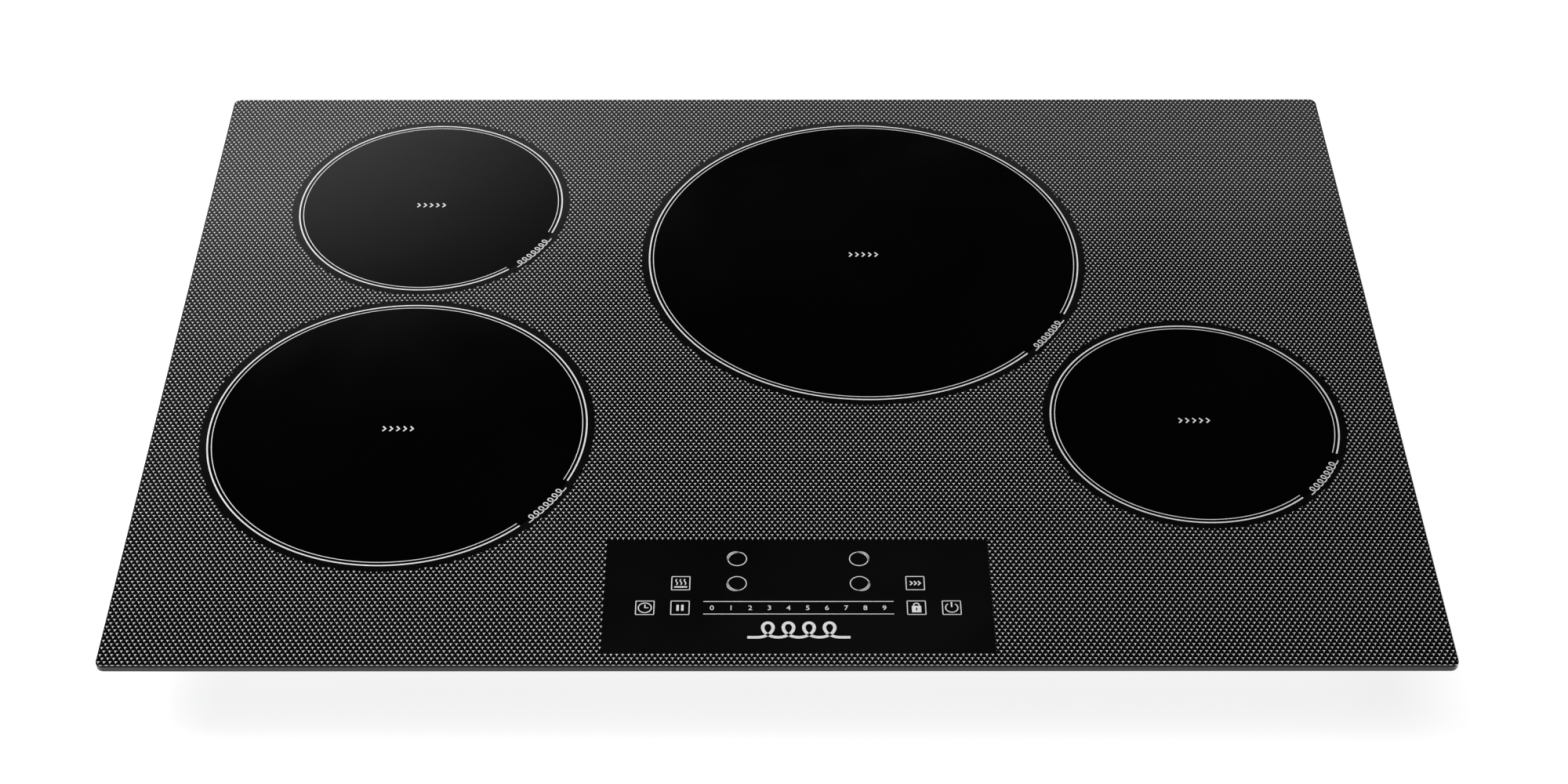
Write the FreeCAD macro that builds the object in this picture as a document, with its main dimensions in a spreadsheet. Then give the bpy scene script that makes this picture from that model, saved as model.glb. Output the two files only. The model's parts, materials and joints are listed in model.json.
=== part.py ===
"""Electric induction cooktop: a frameless black glass top over a stepped steel casing.

Millimetres. +X right, +Y to the back, +Z up. The origin is the centre of the glass in plan,
at the level of the casing's feet. The user stands on the -Y side.
"""
import FreeCAD, Part
import math
import os
import re
import Sketcher
from FreeCAD import Placement, Rotation, Vector

DIMENSIONS = {
    # Glass top and what joins it to the casing.
    "glass_width": 760, "glass_depth": 530, "glass_thick": 4, "glass_corner": 5, "glass_arris": 1,
    "glass_base": 52, "seal_inset": 3, "seal_width": 9, "seal_thick": 3, "seal_corner": 3,
    "bead_width": 9, "bead_reach": 2, "bead_corner": 3,
    # Stepped casing: deep at the back, a shallow shelf under the control panel.
    "case_width": 720, "case_depth": 490, "case_corner": 6, "case_base": 2, "case_top": 50,
    "sheet_thick": 1, "shelf_edge": -158, "shelf_base": 32, "foot_radius": 12, "foot_taper": 2,
    "foot_x": 300, "foot_front": -125, "foot_rear": 216, "slot_width": 3.5, "slot_pitch": 8,
    "slot_base": 8, "slot_height": 26, "slot_rows": 26, "slot_shift": 10, "punch_depth": 6,
    # Frame under the glass, and the screws between it and the casing.
    "flange_width": 8, "flange_lip": 2, "flange_thick": 1, "flange_corner": 5, "skirt_height": 12,
    "skirt_gap": 0.1, "screw_level": 44, "screw_radius": 1.9, "screw_clear": 0.15, "screw_head": 2,
    "head_radius": 3.6, "screw_length": 5, "drill_reach": 6,
    # Cooking zones: centre and radius of each.
    "rear_left_x": -230.5, "rear_left_y": 145.5, "rear_left_radius": 87.5,
    "front_left_x": -230.5, "front_left_y": -72.5, "front_left_radius": 115,
    "rear_centre_x": 57.5, "rear_centre_y": 93.5, "rear_centre_radius": 140,
    "front_right_x": 255.5, "front_right_y": -65.5, "front_right_radius": 87.5,
    # Carrier plates and the springs under them.
    "plate_base": 38.5, "plate_thick": 1.5, "plate_corner": 8, "hub_clear": 1,
    "left_plate_x": -227, "left_plate_y": 23, "left_plate_width": 238, "left_plate_depth": 430,
    "right_plate_x": 130, "right_plate_y": 39, "right_plate_width": 440, "right_plate_depth": 398,
    "spring_radius": 6.5, "spring_wire": 0.8, "spring_turns": 5, "spring_gap": 0.1,
    # Coil stack, from the carrier plate up.
    "ferrite_height": 4, "ferrite_width": 10, "ferrite_start": 10, "ferrite_margin": 6,
    "small_bars": 8, "large_bars": 12, "former_base": 44.2, "former_thick": 2, "former_margin": 2,
    "rim_thick": 1.6, "rim_height": 6.2, "hub_radius": 9, "hub_wall": 2.5, "rib_thick": 1.2,
    "rib_side": 0.9, "rib_gap": 0.8, "rib_start": 14, "rib_trim": 20, "vent_width": 7,
    "vent_start": 0.42, "vent_share": 0.55, "litz_pitch": 4, "litz_radius": 1.95, "litz_level": 48.4,
    "litz_start": 18, "litz_margin": 8, "mica_base": 50.8, "mica_thick": 0.6, "mica_margin": 1,
    "sensor_gap": 0.6, "sensor_foot": 5, "sensor_stem": 5, "sensor_tip": 3, "sensor_rise": 10,
    # Boards and what carries them.
    "board_x": 225, "board_y": 70, "board_width": 220, "board_depth": 240, "board_base": 9,
    "board_thick": 1.6, "filter_y": 135, "filter_width": 180, "filter_depth": 120,
    "film_base": 3, "film_thick": 0.5, "film_y": 76, "film_width": 680, "film_depth": 256,
    "post_inset": 8, "post_hole": 1.8, "post_pin": 1.6, "post_radius": 4, "post_tip": 2,
    # Heatsinks and the packages bolted to them.
    "sink_x": 215, "sink_y": 35, "sink_width": 60, "sink_length": 140, "sink_height": 23,
    "sink_base": 4, "sink_wall": 3, "fin_count": 10, "fin_thick": 1.6,
    "package_thick": 5, "package_width": 16, "package_height": 18, "package_rise": 4.5,
    "package_pitch": 30, "leg_thick": 0.6, "leg_width": 1.2, "leg_height": 5, "leg_pitch": 5.4,
    "bridge_thick": 4, "bridge_width": 24, "bridge_rise": 4, "bridge_shift": 20,
    "bridge_leg_thick": 0.7, "bridge_leg_width": 1, "bridge_leg_pitch": 5,
    # Components on the boards.
    "part_pitch": 24, "box_x": 82, "box_y": -80, "box_width": 32, "box_depth": 16, "box_height": 24,
    "small_box_width": 26, "small_box_depth": 12, "small_box_height": 20, "small_box_y": -38,
    "can_x": 88, "can_y": -90, "can_radius": 9, "can_height": 25,
    "choke_x": 78, "choke_y": 34, "choke_pitch": 44, "choke_radius": 13, "choke_wire": 6.5,
    "mains_choke_y": 20, "mains_choke_radius": 14, "mains_choke_wire": 7,
    "relay_width": 29, "relay_depth": 13, "relay_height": 25, "relay_y": 98,
    "mains_relay_x": 62, "mains_relay_y": 15, "mains_relay_height": 22,
    # Blowers.
    "fan_x": 215, "fan_y": -98, "fan_radius": 46, "fan_base": 4, "fan_height": 29,
    "fan_wall": 1.5, "duct_share": 1.3, "duct_open": 4, "inlet_radius": 28, "rotor_radius": 38,
    "rotor_base": 8, "rotor_height": 22, "rotor_disc": 1.5, "rotor_ring": 2, "rotor_hub": 17,
    "shaft_radius": 3, "shaft_rise": 4, "bore_rise": 3.5, "run_gap": 0.05,
    "blade_count": 28, "blade_length": 12, "blade_thick": 1.2, "blade_lean": 25, "blade_gap": 0.5,
    # Control unit under the front of the glass.
    "panel_x": 12, "panel_y": -197.5, "panel_width": 212, "panel_depth": 59, "panel_base": 34,
    "panel_height": 16.4, "panel_board": 44, "panel_wall": 1.5, "board_inset": 2, "panel_notch": 30,
    "notch_height": 8, "stand_x": 98, "stand_y": 24, "stand_radius": 2.5, "stand_sink": 1,
    "key_pitch": 10.9, "key_row": -220.7, "key_first": -36.9, "key_radius": 3.6, "square_row": -201.6,
    "upper_row": -182.3, "lower_row": -201.8, "digit_width": 13, "digit_depth": 11,
    "digit_height": 5.6, "digit_pitch": 24,
    "ribbon_width": 20, "ribbon_thick": 0.8, "ribbon_rise": 3, "ribbon_low": 1, "ribbon_inset": 2,
    "ribbon_bend": -150, "ribbon_foot": -112, "ribbon_end": 10,
    # Mains connection in the rear wall.
    "mains_width": 88, "mains_base": 7, "mains_height": 30, "mains_depth": 31, "mains_wall": 1.5,
    "room_reach": 4, "window_gap": 0.3, "bezel_rim": 10, "bezel_side": 3, "bezel_thick": 2, "ear_x": 7.8,
    "ear_width": 4, "ear_depth": 7, "ear_height": 8, "ear_hole_reach": 70, "cord_radius": 7,
    "cord_inset": 19, "cord_reach": 10,
    "strip_width": 66, "strip_depth": 20, "strip_height": 12, "strip_inset": 18,
    "barrier_thick": 1.6, "barrier_height": 17, "pole_pitch": 13, "pit_radius": 4, "pit_depth": 6,
    "pole_radius": 3.6, "pole_height": 4, "pole_slot": 0.9, "pole_slot_rise": 3,
    "flap_width": 98.8, "flap_thick": 2, "flap_gap": 1.6, "flap_drop": 1, "barrel_radius": 2.5,
    "hinge_y": 250, "hinge_z": 40, "pin_radius": 1.5, "pin_reach": 3.5, "flap_rib_thick": 2,
    "flap_rib_depth": 3.2, "flap_rib_height": 24, "flap_rib_pitch": 14, "flap_rib_rise": 3,
    "grip_width": 30, "grip_depth": 4.4, "grip_thick": 2, "grip_reach": 0.6,
    "gland_x": 80, "gland_z": 22, "gland_radius": 6.5, "gland_wall": 3, "gland_rim": 6,
    "gland_reach": 10, "gland_flange": 4, "gland_clear": 0.2,
    "lead_radius": 1.7, "lead_rise": 17, "lead_bend": 8, "lead_pitch": 26, "lead_inset": 6,
    # Hold-down clamps on the side walls.
    "bracket_thick": 1.5, "bracket_width": 28, "bracket_height": 30, "bracket_base": 14,
    "lug_reach": 17, "lug_width": 18, "lug_thick": 3, "clamp_x": 370, "clamp_y": 40,
    "clamp_screw": 3, "clamp_lug": 30, "clamp_head": 5, "clamp_head_height": 3, "head_base": 1,
    "clip_rim": 2, "clip_thick": 1, "clip_gap": 0.2, "cross_length": 6, "cross_width": 1.1,
    "cross_depth": 1.4, "shank_sink": 0.5, "washer_radius": 6.5, "washer_thick": 1.2, "washer_gap": 0.15,
    "arm_base": 5.5, "arm_height": 7, "arm_reach": 34, "arm_width": 7, "arm_thick": 4,
    "arm_wall": 4, "tip_radius": 3.5, "tip_rise": 3.5, "bore_margin": 2,
}

doc = FreeCAD.newDocument("induction_cooktop")
sheet = doc.addObject("Spreadsheet::Sheet", "Sheet")
for row, (alias, number) in enumerate(DIMENSIONS.items(), 1):
    sheet.set("A%d" % row, "'" + alias)
    sheet.set("B%d" % row, str(number))
    sheet.setAlias("B%d" % row, alias)
doc.recompute()

ZONES = ("rear_left", "front_left", "rear_centre", "front_right")
SIDES = (("left", -1), ("right", 1))
NODES = []


def bound(expression):
    """An expression in which every cell's name is spelled as FreeCAD spells it."""
    return re.sub(r"[a-z]+(?:_[a-z]+)+", lambda found: "Sheet." + found.group(0), str(expression))


def value(expression):
    """The number that an expression of cell names gives."""
    return float(sheet.evalExpression(bound(expression)))


def bind(item, **expressions):
    for name, expression in expressions.items():
        item.setExpression(name, bound(expression))
    return item


def place(item, x, y, z):
    for axis, expression in (("x", x), ("y", y), ("z", z)):
        item.setExpression("Placement.Base." + axis, bound(expression))
    return item


def node(item, label):
    """Marks an object as one finished sub-part."""
    item.Label = label
    NODES.append(item)
    return item


# Primitives bound to the sheet ---------------------------------------------------------------

def block(name, size, at):
    """A box centred on at in X and Y, with its lowest face at at's Z."""
    item = doc.addObject("Part::Box", name)
    bind(item, Length=size[0], Width=size[1], Height=size[2])
    return place(item, "(%s) - (%s) / 2" % (at[0], size[0]), "(%s) - (%s) / 2" % (at[1], size[1]), at[2])


def rod(name, radius, height, at, axis="Z"):
    """A cylinder that starts at at and runs along an axis."""
    item = doc.addObject("Part::Cylinder", name)
    bind(item, Radius=radius, Height=height)
    turns = {"Z": Rotation(), "X": Rotation(Vector(0, 1, 0), 90), "Y": Rotation(Vector(1, 0, 0), -90)}
    item.Placement = Placement(Vector(), turns[axis])
    return place(item, *at)


def hexagon(name, across, depth, at):
    """A six-sided hole tool across flats, that starts at at and runs along +Y."""
    item = doc.addObject("Part::Prism", name)
    item.Polygon = 6
    bind(item, Circumradius=across + " / 2 / cos(30 deg)", Height=depth)
    item.Placement = Placement(Vector(), Rotation(Vector(1, 0, 0), -90))
    return place(item, *at)


def cone(name, low, high, height, at):
    item = doc.addObject("Part::Cone", name)
    bind(item, Radius1=low, Radius2=high, Height=height)
    return place(item, *at)


def ring(name, major, minor, at):
    item = doc.addObject("Part::Torus", name)
    bind(item, Radius1=major, Radius2=minor)
    return place(item, *at)


def spoke(name, centre, degrees, start, size, low, lean=0, aside="0"):
    """A box that points away from a centre: size is along the radius, across it, and up."""
    item = doc.addObject("Part::Box", name)
    bind(item, Length=size[0], Width=size[1], Height=size[2])
    item.Placement = Placement(Vector(), Rotation(Vector(0, 0, 1), degrees + lean))
    along = "(%s) + (%s) * cos(%g deg) + ((%s) / 2 - (%s)) * sin(%g deg)"
    across = "(%s) + (%s) * sin(%g deg) - ((%s) / 2 - (%s)) * cos(%g deg)"
    facing = degrees + lean
    x = along % (centre[0], start, degrees, size[1], aside, facing)
    y = across % (centre[1], start, degrees, size[1], aside, facing)
    return place(item, x, y, low)


def fuse(name, items):
    item = doc.addObject("Part::MultiFuse", name)
    item.Shapes = items
    return item


def group(name, items):
    """Separate solids that share one sub-part."""
    item = doc.addObject("Part::Compound", name)
    item.Links = items
    return item


def cut(name, base, tools):
    item = doc.addObject("Part::Cut", name)
    item.Base = base
    item.Tool = tools[0] if len(tools) == 1 else fuse(name + "_tools", tools)
    return item


def tube(name, outer, inner, height, at):
    return cut(name, rod(name + "_outer", outer, height, at), [rod(name + "_bore", inner, height, at)])


# Sketched bodies bound to the sheet ----------------------------------------------------------

def sketch_on(body, name, role, offset):
    sketch = body.newObject("Sketcher::SketchObject", name)
    plane = [item for item in body.Origin.OriginFeatures if item.Role == role][0]
    sketch.AttachmentSupport = [(plane, "")]
    sketch.MapMode = "FlatFace"
    sketch.setExpression("AttachmentOffset.Base.z", bound(offset))
    return sketch


def dimension(sketch, constraint, name, expression):
    index = sketch.addConstraint(constraint)
    sketch.renameConstraint(index, name)
    sketch.setExpression("Constraints." + name, bound(expression))


def draw_rectangle(sketch, size, centre=("0", "0")):
    """A rectangle held by its size and by the place of its lower left corner."""
    first = sketch.GeometryCount
    low = [value("(%s) - (%s) / 2" % pair) for pair in zip(centre, size)]
    high = [value("(%s) + (%s) / 2" % pair) for pair in zip(centre, size)]
    corners = [(low[0], low[1]), (high[0], low[1]), (high[0], high[1]), (low[0], high[1])]
    for index, (x, y) in enumerate(corners):
        after = corners[(index + 1) % 4]
        sketch.addGeometry(Part.LineSegment(Vector(x, y, 0), Vector(after[0], after[1], 0)), False)
    for index in range(4):
        line, after = first + index, first + (index + 1) % 4
        sketch.addConstraint(Sketcher.Constraint("Coincident", line, 2, after, 1))
        sketch.addConstraint(Sketcher.Constraint("Vertical" if index % 2 else "Horizontal", line))
    for index, way in enumerate(("DistanceX", "DistanceY")):
        side, tag = first + index, "r%d%s" % (first, way[-1])
        length = Sketcher.Constraint(way, side, 1, side, 2, high[index] - low[index])
        dimension(sketch, length, tag + "size", size[index])
        corner = Sketcher.Constraint(way, -1, 1, first, 1, low[index])
        dimension(sketch, corner, tag + "low", "(%s) - (%s) / 2" % (centre[index], size[index]))


def draw_circle(sketch, radius, centre=("0", "0")):
    x, y = value(centre[0]), value(centre[1])
    index = sketch.addGeometry(Part.Circle(Vector(x, y, 0), Vector(0, 0, 1), value(radius)), False)
    tag = "c%d" % index
    dimension(sketch, Sketcher.Constraint("Radius", index, value(radius)), tag + "r", radius)
    dimension(sketch, Sketcher.Constraint("DistanceX", -1, 1, index, 3, x), tag + "x", centre[0])
    dimension(sketch, Sketcher.Constraint("DistanceY", -1, 1, index, 3, y), tag + "y", centre[1])


def plate(label, low, height, rectangles=(), circles=()):
    """A flat piece: one sketch of outlines and holes, padded upwards from a level."""
    body = doc.addObject("PartDesign::Body", label)
    sketch = sketch_on(body, label + "_outline", "XY_Plane", low)
    for size, centre in rectangles:
        draw_rectangle(sketch, size, centre)
    for radius, centre in circles:
        draw_circle(sketch, radius, centre)
    pad = body.newObject("PartDesign::Pad", label + "_pad")
    pad.Profile = sketch
    bind(pad, Length=height)
    return body


def round_edges(body, radius, chosen, name):
    """Rounds the edges of the body's last feature that chosen() picks."""
    doc.recompute()
    base = body.Tip
    names = ["Edge%d" % index for index, edge in enumerate(base.Shape.Edges, 1) if chosen(edge)]
    fillet = body.newObject("PartDesign::Fillet", name)
    fillet.Base = (base, names)
    bind(fillet, Radius=radius)
    return body


def upright(edge):
    """True for a straight edge along Z."""
    ends = [vertex.Point for vertex in edge.Vertexes]
    return len(ends) == 2 and abs(ends[0].x - ends[1].x) < 1e-6 and abs(ends[0].y - ends[1].y) < 1e-6


def at_level(level):
    """Picks the edges that lie at one height."""
    return lambda edge: abs(edge.BoundBox.ZMin - level) < 1e-6 and abs(edge.BoundBox.ZMax - level) < 1e-6


CENTRE = ("0", "0")

# Glass, seal, adhesive -----------------------------------------------------------------------


def glass_top():
    body = plate("glass_top", "glass_base", "glass_thick", [(("glass_width", "glass_depth"), CENTRE)])
    round_edges(body, "glass_corner", upright, "glass_corners")
    round_edges(body, "glass_arris", at_level(value("glass_base + glass_thick")), "glass_top_arris")
    return node(body, "glass_top")


def worktop_seal():
    outer = ("glass_width - 2 * seal_inset", "glass_depth - 2 * seal_inset")
    inner = tuple(length + " - 2 * seal_width" for length in outer)
    low = "glass_base - seal_thick"
    body = plate("worktop_seal", low, "seal_thick", [(outer, CENTRE), (inner, CENTRE)])
    return node(round_edges(body, "seal_corner", upright, "seal_corners"), "worktop_seal")


def glass_adhesive():
    outer = ("case_width + bead_reach", "case_depth + bead_reach")
    inner = tuple(length + " - 2 * bead_width" for length in outer)
    body = plate("glass_adhesive", "case_top + flange_thick", "glass_base - case_top - flange_thick",
                 [(outer, CENTRE), (inner, CENTRE)])
    return node(round_edges(body, "bead_corner", upright, "adhesive_corners"), "glass_adhesive")


# Casing and frame ----------------------------------------------------------------------------

SIDE_SCREWS = ("-205", "-70", "120", "222")
FRONT_SCREWS = ("-300", "-100", "100", "300")
REAR_SCREWS = ("-300", "-120", "120", "300")
WALL_SCREWS = ([(x, y, "X") for x in ("-case_width / 2", "case_width / 2") for y in SIDE_SCREWS]
               + [(x, "-case_depth / 2", "Y") for x in FRONT_SCREWS]
               + [(x, "case_depth / 2", "Y") for x in REAR_SCREWS])


def wall_holes(name, radius):
    """One hole tool for each side screw, long enough to pass the wall and the skirt."""
    tools = []
    for index, (x, y, axis) in enumerate(WALL_SCREWS):
        start = "%s - drill_reach"
        at = (start % x, y, "screw_level") if axis == "X" else (x, start % y, "screw_level")
        tools.append(rod("%s_%d" % (name, index), radius, "2 * drill_reach", at, axis))
    return tools


def support_frame():
    """Angle frame: a flange bonded to the glass and a skirt that hangs inside the casing."""
    inside = "case_%s - 2 * sheet_thick - 2 * skirt_gap"
    span = (inside % "width", inside % "depth")
    room = tuple("%s - 2 * sheet_thick" % length for length in span)
    wide = ("case_width + 2 * flange_lip", "case_depth + 2 * flange_lip")
    open_span = tuple("%s - 2 * flange_width - 2 * sheet_thick" % length for length in span)
    flange = plate("frame_flange", "case_top", "flange_thick", [(wide, CENTRE), (open_span, CENTRE)])
    round_edges(flange, "flange_corner", upright, "flange_corners")
    skirt_low = "case_top - skirt_height"
    skirt = plate("frame_skirt", skirt_low, "skirt_height", [(span, CENTRE), (room, CENTRE)])
    round_edges(skirt, "case_corner - sheet_thick", upright, "skirt_corners")
    joined = fuse("frame_joined", [flange, skirt])
    holes = wall_holes("frame_hole", "screw_radius + screw_clear")
    return node(cut("support_frame", joined, holes), "support_frame")


def louvres():
    """Outlet slots behind each heatsink, in the rear wall."""
    tools = []
    for side, sign in SIDES:
        for index in range(int(value("slot_rows"))):
            x = "%d * (sink_x + slot_shift + slot_pitch * (%g - (slot_rows - 1) / 2))" % (sign, index)
            size = ("slot_width", "punch_depth", "slot_height")
            tools.append(block("louvre_%s_%d" % (side, index), size, (x, "case_depth / 2", "slot_base")))
    return tools


def intakes():
    """Slots in the floor below each blower, cut to a round field."""
    tools = []
    reach = value("inlet_radius")
    for side, sign in SIDES:
        for index in range(-3, 4):
            offset = index * value("slot_pitch")
            chord = 2 * math.sqrt(reach ** 2 - offset ** 2)
            size = ("slot_width", "%.2f" % chord, "punch_depth")
            at = ("%d * fan_x + %d * slot_pitch" % (sign, index), "fan_y", "0")
            tools.append(block("intake_%s_%s" % (side, index + 3), size, at))
    return tools


FEET = [(sign, y) for sign in (-1, 1) for y in ("foot_front", "foot_rear")]


def feet():
    """Pressed dimples: a cone down to the bench and the hollow above it."""
    dimples, hollows = [], []
    for index, (sign, y) in enumerate(FEET):
        x = "%d * foot_x" % sign
        dimples.append(cone("foot_%d" % index, "foot_radius - foot_taper", "foot_radius", "case_base",
                            (x, y, "0")))
        hollows.append(cone("foot_hollow_%d" % index,
                            "foot_radius - foot_taper - sheet_thick", "foot_radius - sheet_thick",
                            "case_base", (x, y, "sheet_thick")))
    return dimples, hollows


def bottom_casing():
    depth_deep = "case_depth / 2 - shelf_edge"
    middle = "(case_depth / 2 + shelf_edge) / 2"
    shell = plate("case_upper", "shelf_base", "case_top - shelf_base",
                  [(("case_width", "case_depth"), CENTRE)])
    deep = plate("case_deep", "case_base", "shelf_base - case_base + sheet_thick",
                 [(("case_width", depth_deep), ("0", middle))])
    round_edges(shell, "case_corner", upright, "case_upper_corners")
    round_edges(deep, "case_corner", upright, "case_deep_corners")
    inner = "case_width - 2 * sheet_thick"
    upper_room = plate("case_upper_room", "shelf_base + sheet_thick", "case_top - shelf_base",
                       [((inner, "case_depth - 2 * sheet_thick"), CENTRE)])
    deep_room = plate("case_deep_room", "case_base + sheet_thick", "shelf_base",
                      [((inner, depth_deep + " - 2 * sheet_thick"), ("0", middle))])
    round_edges(upper_room, "case_corner - sheet_thick", upright, "upper_room_corners")
    round_edges(deep_room, "case_corner - sheet_thick", upright, "deep_room_corners")
    dimples, hollows = feet()
    window = block("mains_window",
                   ("mains_width + 2 * window_gap", "punch_depth", "mains_height + 2 * window_gap"),
                   ("0", "case_depth / 2", "mains_base - window_gap"))
    gland = hexagon("gland_hole", "2 * (gland_radius + gland_wall + gland_clear)", "punch_depth",
                    ("gland_x", "case_depth / 2 - punch_depth / 2", "gland_z"))
    solid = fuse("case_solid", [shell, deep] + dimples)
    tools = [upper_room, deep_room, window, gland] + hollows + louvres() + intakes()
    tools += wall_holes("case_hole", "screw_radius + screw_clear")
    return node(cut("bottom_casing", solid, tools), "bottom_casing")


def casing_screws():
    """Pan-head screws through the wall into the frame's skirt."""
    screws = []
    for index, (x, y, axis) in enumerate(WALL_SCREWS):
        wall = x if axis == "X" else y
        low_side = wall.startswith("-")
        starts = {"head": wall + (" - screw_head" if low_side else ""),
                  "shank": wall + ("" if low_side else " - screw_length")}
        ends = []
        for part, radius, length in (("head", "head_radius", "screw_head"),
                                     ("shank", "screw_radius", "screw_length")):
            at = (starts[part], y) if axis == "X" else (x, starts[part])
            ends.append(rod("case_screw_%s_%d" % (part, index), radius, length, at + ("screw_level",), axis))
        screws.append(fuse("case_screw_%d" % index, ends))
    return node(group("casing_screws", screws), "casing_screws")


# Coil stack ----------------------------------------------------------------------------------

def zone(name, key):
    return "%s_%s" % (name, key)


def centre_of(name):
    return (zone(name, "x"), zone(name, "y"))


def coil_plates():
    """Aluminium carrier plates, one under each pair of coils, with a hole at each coil's centre."""
    for side, zones in (("left", ZONES[:2]), ("right", ZONES[2:])):
        size = (side + "_plate_width", side + "_plate_depth")
        centre = (side + "_plate_x", side + "_plate_y")
        holes = [("hub_radius + hub_clear", centre_of(name)) for name in zones]
        body = plate(side + "_coil_plate", "plate_base", "plate_thick", [(size, centre)], holes)
        node(round_edges(body, "plate_corner", upright, side + "_plate_corners"), side + "_coil_plate")


def bar_count(name):
    """Small zones carry fewer ferrite bars than large ones."""
    small = value(zone(name, "radius")) < value("front_left_radius")
    return int(value("small_bars" if small else "large_bars"))


def bar_reach(name):
    """Start and length of the ferrite bars, from the coil's centre outwards."""
    length = zone(name, "radius") + " - hub_radius - ferrite_start - ferrite_margin"
    return "hub_radius + ferrite_start", length


def coil_former(name):
    """Plastic disc with a rim, a hub and a rib on each side of every ferrite bar."""
    centre = centre_of(name)
    radius = zone(name, "radius")
    low = (centre[0], centre[1], "former_base")
    rim = radius + " - former_margin"
    pieces = [rod(name + "_disc", rim, "former_thick", low),
              tube(name + "_rim", rim, rim + " - rim_thick", "rim_height", low),
              rod(name + "_hub", "hub_radius + hub_wall", "rim_height", low)]
    windows = [rod(name + "_hub_bore", "hub_radius", "glass_base - plate_base",
                   (centre[0], centre[1], "plate_base"))]
    start, length = bar_reach(name)
    count = bar_count(name)
    step = 360.0 / count
    for index in range(count):
        for side in (-1, 1):
            rib_low = "plate_base + plate_thick + rib_gap"
            rib = (length + " - rib_trim", "rib_thick", "former_base - (%s)" % rib_low)
            pieces.append(spoke("%s_rib_%d_%d" % (name, index, side + 1), centre, index * step,
                                start + " + rib_start", rib, rib_low,
                                aside="%d * (ferrite_width / 2 + rib_side)" % side))
        vent = ("(%s) * vent_share" % length, "vent_width", "2 * former_thick")
        windows.append(spoke("%s_window_%d" % (name, index), centre, (index + 0.5) * step,
                             radius + " * vent_start", vent, "former_base - former_thick / 2"))
    joined = fuse(name + "_former_joined", pieces)
    return node(cut(name + "_coil_former", joined, windows), name + "_coil_former")


def ferrite_bars():
    """Radial bars below each former, all alike in section."""
    bars = []
    for name in ZONES:
        start, length = bar_reach(name)
        count = bar_count(name)
        for index in range(count):
            bars.append(spoke("%s_ferrite_%d" % (name, index), centre_of(name), index * 360.0 / count,
                              start, (length, "ferrite_width", "ferrite_height"),
                              "plate_base + plate_thick"))
    return node(group("ferrite_bars", bars), "ferrite_bars")


def spiral(first_radius, turns, pitch, radius):
    """A flat spiral of half circles: each is half a pitch larger, so the path stays smooth."""
    edges = []
    centre, reach, side = 0.0, first_radius, 1
    for half in range(2 * turns):
        start = 0 if side > 0 else math.pi
        circle = Part.Circle(Vector(centre, 0, 0), Vector(0, 0, 1), reach)
        edges.append(Part.Arc(circle, start, start + math.pi).toShape())
        end = centre - side * reach
        reach += pitch / 2.0
        side = -side
        centre = end - side * reach
    corners = [math.radians(22.5 + 45 * index) for index in range(9)]
    outline = [Vector(first_radius + radius * math.cos(turn), 0, radius * math.sin(turn)) for turn in corners]
    return Part.Wire(edges).makePipeShell([Part.makePolygon(outline)], True, False)


def coil_winding(name):
    """One flat spiral of litz wire."""
    pitch = value("litz_pitch")
    first = value("hub_radius + litz_start")
    last = value(zone(name, "radius") + " - litz_margin")
    turns = int((last - first) / pitch)
    item = doc.addObject("Part::Feature", name + "_winding")
    item.Shape = spiral(first, turns, pitch, value("litz_radius"))
    x, y = (value(part) for part in centre_of(name))
    item.Placement = Placement(Vector(x, y, value("litz_level")), Rotation())
    return node(item, name + "_winding")


def mica_sheet(name):
    centre = centre_of(name)
    body = plate(name + "_mica_sheet", "mica_base", "mica_thick", [],
                 [("%s_radius - mica_margin" % name, centre), ("hub_radius", centre)])
    return node(body, name + "_mica_sheet")


def zone_sensors():
    """Thermistor holders that stand in each coil's hub and press their tip on the glass."""
    holders = []
    for name in ZONES:
        x, y = centre_of(name)
        low = "plate_base + plate_thick"
        holders.append(fuse(name + "_sensor", [
            rod(name + "_sensor_foot", "hub_radius - sensor_gap", "sensor_foot", (x, y, low)),
            rod(name + "_sensor_stem", "sensor_stem", "sensor_rise + 1", (x, y, low)),
            rod(name + "_sensor_tip", "sensor_tip", "glass_base - (%s) - sensor_rise" % low,
                (x, y, low + " + sensor_rise"))]))
    return node(group("zone_sensors", holders), "zone_sensors")


SPRINGS = [(-330, 212.5), (-125, 212.5), (-338, -120), (-120, -140),
           (-75, 213), (330, 212.5), (338, -120), (120, -120)]


def plate_springs():
    """Coil springs between the casing's floor and the carrier plates."""
    low = value("case_base + sheet_thick + spring_wire + spring_gap")
    high = value("plate_base - spring_wire - spring_gap")
    radius, wire = value("spring_radius"), 0.9 * value("spring_wire")
    steps = int(10 * value("spring_turns"))
    path = []
    for index in range(steps + 1):
        angle = index * math.pi / 5
        level = low + (high - low) * index / steps
        path.append(Vector(radius * math.cos(angle), radius * math.sin(angle), level))
    corners = [(wire, wire), (-wire, wire), (-wire, -wire), (wire, -wire), (wire, wire)]
    section = Part.makePolygon([Vector(radius + x, 0, low + z) for x, z in corners])
    one = Part.makePolygon(path).makePipeShell([section], True, True, 1)
    item = doc.addObject("Part::Feature", "plate_springs")
    item.Shape = Part.makeCompound([one.translated(Vector(x, y, 0)) for x, y in SPRINGS])
    return node(item, "plate_springs")


# Power electronics ---------------------------------------------------------------------------

TOP = "board_base + board_thick"


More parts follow.
